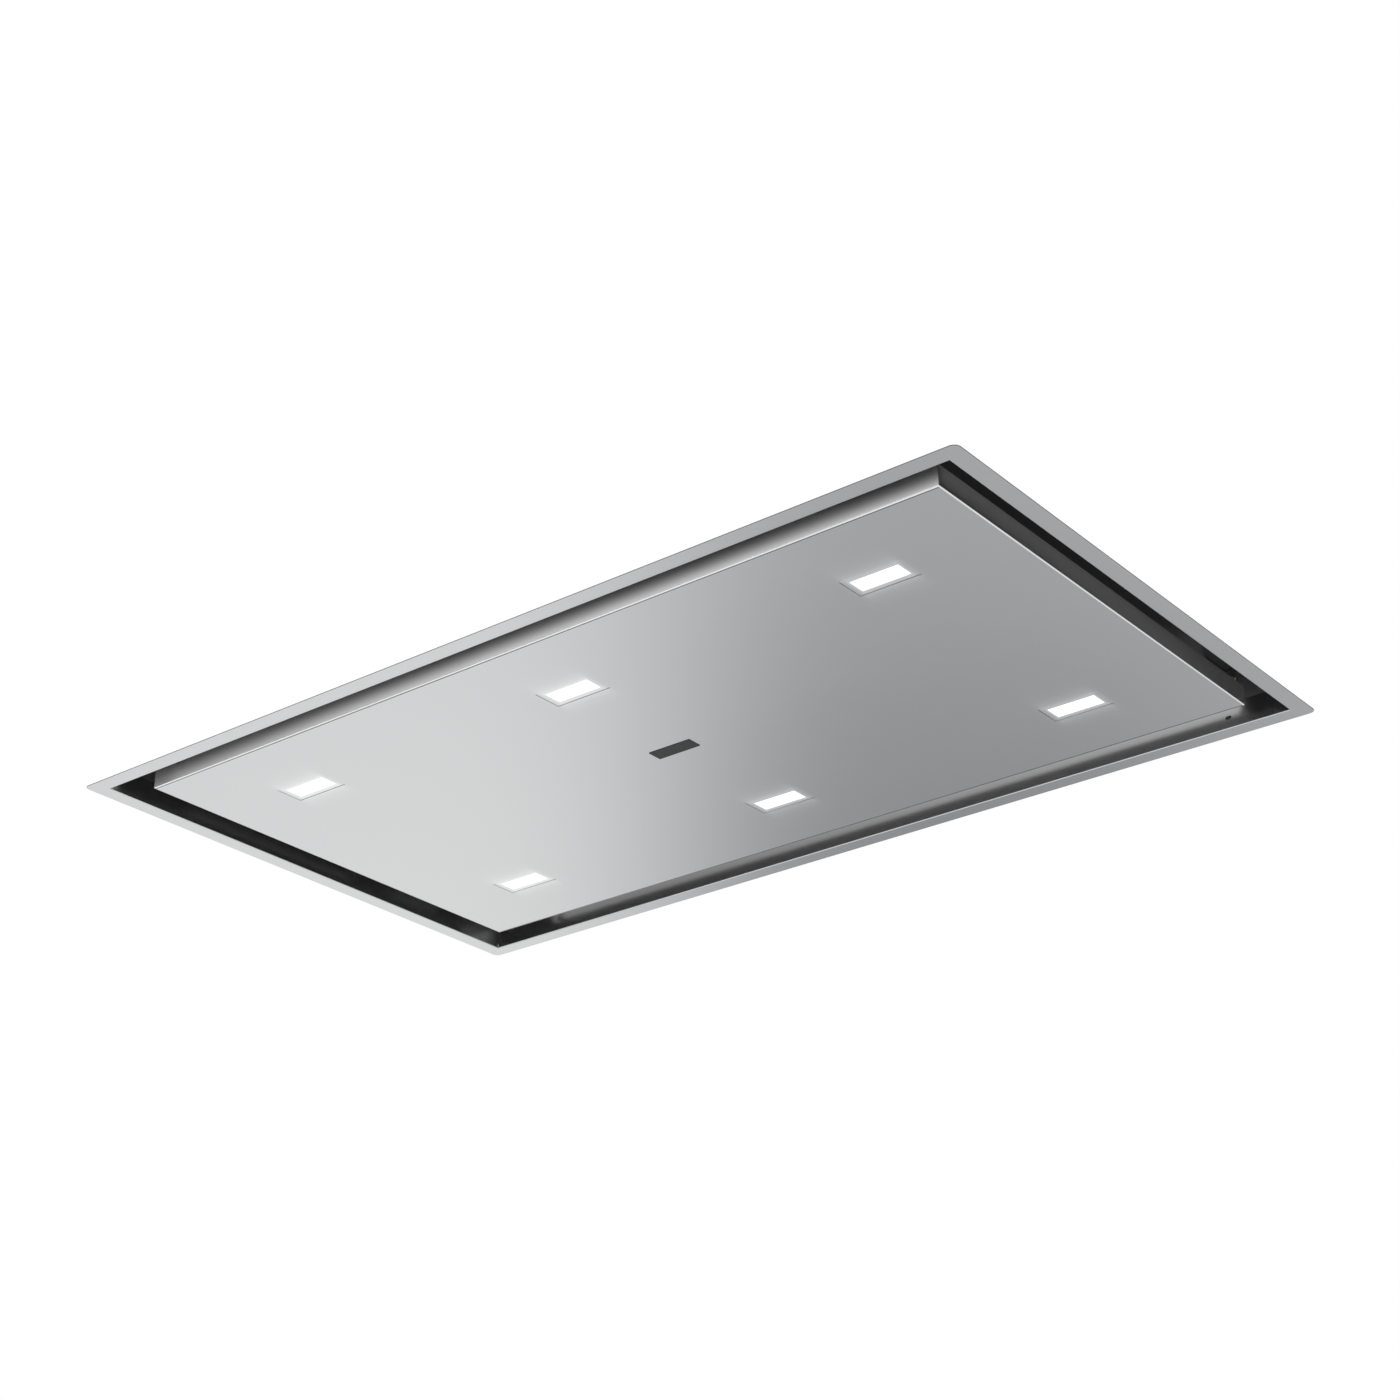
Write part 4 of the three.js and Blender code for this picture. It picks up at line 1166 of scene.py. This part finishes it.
# brightness round the hood by compass angle, 0 at +Y and positive towards +X, for what lies
# a little below the horizon and for what lies deeper
ROOM_LOW = (
    (-180, 0.80), (-130, 0.9), (-90, 0.75), (-60, 0.84), (-49, 0.93), (-43, 0.95), (-35.2, 0.29),
    (-30, 0.29), (-24, 0.42), (-12, 0.8), (40, 0.9), (90, 0.3), (140, 0.8), (180, 0.80),
)
ROOM_DEEP = (
    (-180, 0.80), (-130, 0.9), (-90, 0.75), (-60, 0.84), (-45, 0.88), (-34.5, 0.50),
    (-30, 0.54), (-24, 0.62), (-12, 0.8), (40, 0.9), (90, 0.5), (140, 0.8), (180, 0.80),
)
LOW_END, DEEP_START = -23.0, -31.0  # degrees above the horizon, like those below

# the even brightness above, and the heights between which it takes over
ABOVE_LEVEL = 0.9
ABOVE_START, ABOVE_FULL = 2.0, 30.0

# how much cooler in green and blue the darker parts are
COOL_GREEN, COOL_BLUE = 0.045, 0.09

# two large soft boxes low down, which light the rolled edges, and a dark flag beside one of
# them: heading, half width, height, half height and brightness
SOFT_BOXES = (
    (-118.0, 32.0, -29.0, 25.0, 1.0),
    (17.0, 30.0, -23.0, 22.0, 0.72),
    (-66.0, 19.0, -50.0, 10.0, 0.06),
)
SOFT_EDGE = 6.0


def room_ramp(tree, turn, levels):
    ramp = tree.nodes.new("ShaderNodeValToRGB")
    ramp.color_ramp.interpolation = "EASE"
    elements = ramp.color_ramp.elements
    while len(elements) < len(levels):
        elements.new(0.5)
    for element, (degrees, level) in zip(elements, levels):
        element.position = degrees / 360 + 0.5
        dark = 1 - level
        green, blue = level * (1 + COOL_GREEN * dark), level * (1 + COOL_BLUE * dark)
        element.color = (level, green, blue, 1.0)
    tree.links.new(turn, ramp.inputs["Fac"])
    return ramp.outputs["Color"]


def inside_band(tree, value, half):
    away = calculate(tree, "ABSOLUTE", value)
    return ranged(tree, away, 1.0, 0.0, half - SOFT_EDGE, half + SOFT_EDGE, True)


def build_world():
    world = bpy.data.worlds.new("studio")
    bpy.context.scene.world = world
    world.use_nodes = True
    tree = world.node_tree
    tree.nodes.clear()
    output = tree.nodes.new("ShaderNodeOutputWorld")
    background = tree.nodes.new("ShaderNodeBackground")
    place = tree.nodes.new("ShaderNodeTexCoord")
    east, north, up = separated(tree, place.outputs["Generated"])
    heading = calculate(tree, "DEGREES", calculate(tree, "ARCTAN2", east, north))
    rise = calculate(tree, "DEGREES", calculate(tree, "ARCSINE", up))
    turn = calculate(tree, "MULTIPLY_ADD", heading, 1 / 360, 0.5)
    low = room_ramp(tree, turn, ROOM_LOW)
    deep = room_ramp(tree, turn, ROOM_DEEP)
    depth = ranged(tree, rise, 0.0, 1.0, LOW_END, DEEP_START, True)
    room = mixed_color(tree, depth, low, deep)
    for centre, half_width, level, half_height, brightness in SOFT_BOXES:
        across = calculate(tree, "SUBTRACT", heading, centre)
        across = inside_band(tree, calculate(tree, "WRAP", across, 180.0, -180.0), half_width)
        along = inside_band(tree, calculate(tree, "SUBTRACT", rise, level), half_height)
        mask = calculate(tree, "MULTIPLY", across, along)
        room = mixed_color(tree, mask, room, (brightness,) * 3)
    above = ranged(tree, rise, 0.0, 1.0, ABOVE_START, ABOVE_FULL, True)
    room = mixed_color(tree, above, room, (ABOVE_LEVEL,) * 3)
    path = tree.nodes.new("ShaderNodeLightPath")
    room = mixed_color(tree, path.outputs["Is Camera Ray"], room, (1.0, 1.0, 1.0))
    tree.links.new(room, background.inputs["Color"])
    tree.links.new(background.outputs["Background"], output.inputs["Surface"])


def area_light(name, place, turn, size, power):
    data = bpy.data.lights.new(name, "AREA")
    data.shape = "RECTANGLE"
    data.size, data.size_y = size
    data.energy = power
    light = add_object(name, data)
    light.location = place
    light.rotation_euler = turn
    light.visible_camera = False
    return light


def turned_to_hood(place):
    return (-Vector(place)).to_track_quat("-Z", "Y").to_euler()


def fade_light(data, along, across):
    """Makes a lamp's strength change from one share to another along and across it."""
    data.use_nodes = True
    tree = data.node_tree
    emission = next(node for node in tree.nodes if node.type == "EMISSION")
    lamp = tree.nodes.new("ShaderNodeNewGeometry")
    place = separated(tree, lamp.outputs["Parametric"])
    lengthwise = ranged(tree, place["X"], *along)
    upwards = ranged(tree, place["Y"], *across, smooth=True)
    tree.links.new(calculate(tree, "MULTIPLY", lengthwise, upwards), emission.inputs["Strength"])


# the studio's lamps: place and size in metres, power in watts, and whether they show in
# reflections
STUDIO_LAMPS = {
    "key_above": ((-1.6, -1.8, 3.0), (2.0, 2.0), 22.0, True),
    "fill_below": ((0.3, -2.6, -2.0), (2.4, 1.6), 12.0, False),
}

# dim lamps in the slot and over the panel, which the walls there reflect as soft bands:
# place and size in mm, the turn in degrees, the power in watts, and the share of it from one
# end to the other and from one side to the other
EVEN = (1.0, 1.0)
RECESS_LAMPS = {
    "near_recess": ((0, -327.5, 31), (90, 0.57, 0), (1156, 24), 0.112, EVEN, (1.0, 0.03)),
    "far_recess": ((-10, 285, 46), (90, 0, 0), (1024, 19), 0.034, (0.45, 1.0), EVEN),
    "near_end_recess": ((577.5, 60, 53), (90, 0, 90), (640, 34), 0.005, EVEN, EVEN),
    "inner_glow": ((0, 0, 34), (180, 0, 0), (1000, 500), 0.11, EVEN, EVEN),
}


def build_lights():
    for name, (place, size, power, glossy) in STUDIO_LAMPS.items():
        light = area_light(name, place, turned_to_hood(place), size, power)
        light.visible_glossy = glossy
    for name, (place, turn, size, power, along, across) in RECESS_LAMPS.items():
        turn = [math.radians(angle) for angle in turn]
        size = [length * MM for length in size]
        light = area_light(name, Vector(place) * MM, turn, size, power)
        fade_light(light.data, along, across)


# ---------- the scene

bpy.context.scene.view_settings.view_transform = "Standard"

make_camera()

lens_low, lens_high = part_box("lamp_lens_1")
materials = {
    "galvanised": galvanised("galvanised_sheet"),
    "zinc": zinc_plate("zinc_plate"),
    "black": moulded_plastic("black_plastic", 0.035),
    "aluminium": brushed_steel("filter_aluminium", 0.66, 0.36, (12.0, 300.0, 300.0), 0.05),
    # steel with a painted glow round the lenses, for the panel's face and the bezels
    "painted_glow_steel": steel_with_painted_glow("stainless_painted_glow", (lens_high - lens_low) / 2),
    "dark_inside": dark_paint("dark_inner_coating"),
    "grey": moulded_plastic("grey_plastic", 0.16),
    "board": moulded_plastic("circuit_board", 0.12, 0.45, (0.35, 1.0, 0.6)),
    "motor": zinc_plate("motor_case", 0.4, 0.42),
}

build_trim(
    brushed_steel("brushed_stainless"),
    # a dark copy of the steel for the flange's outer rim: painted shade
    brushed_steel("painted_shade_edge", 0.07, 0.5),
    # the near-black finish as painted shade inside the slot
    materials["dark_inside"],
)
build_panel(
    materials["painted_glow_steel"],
    brushed_steel("brushed_sides", 0.72, 0.26),
    # a brighter copy of the steel on the bends: painted highlight
    brushed_steel("painted_highlight_bends", 0.95, 0.16),
    # a dark copy of the steel beside the long bends: painted reflection
    brushed_steel("painted_dark_line", 0.11, 0.22),
)
build_badge(brushed_steel("dark_blank_plate", 0.05, 0.4, (8.0, 900.0, 900.0), 0.05))
build_lamps(materials["painted_glow_steel"], lit_lens("lit_opal"))
dress_nodes(materials)
carcass_fasteners(materials["zinc"])
panel_fasteners(materials["zinc"])
carcass_beads(materials["galvanised"])
build_collar(materials["black"])
build_gland(materials["black"])
build_filters(materials["aluminium"])
build_ceiling()
build_floor()
build_world()
build_lights()
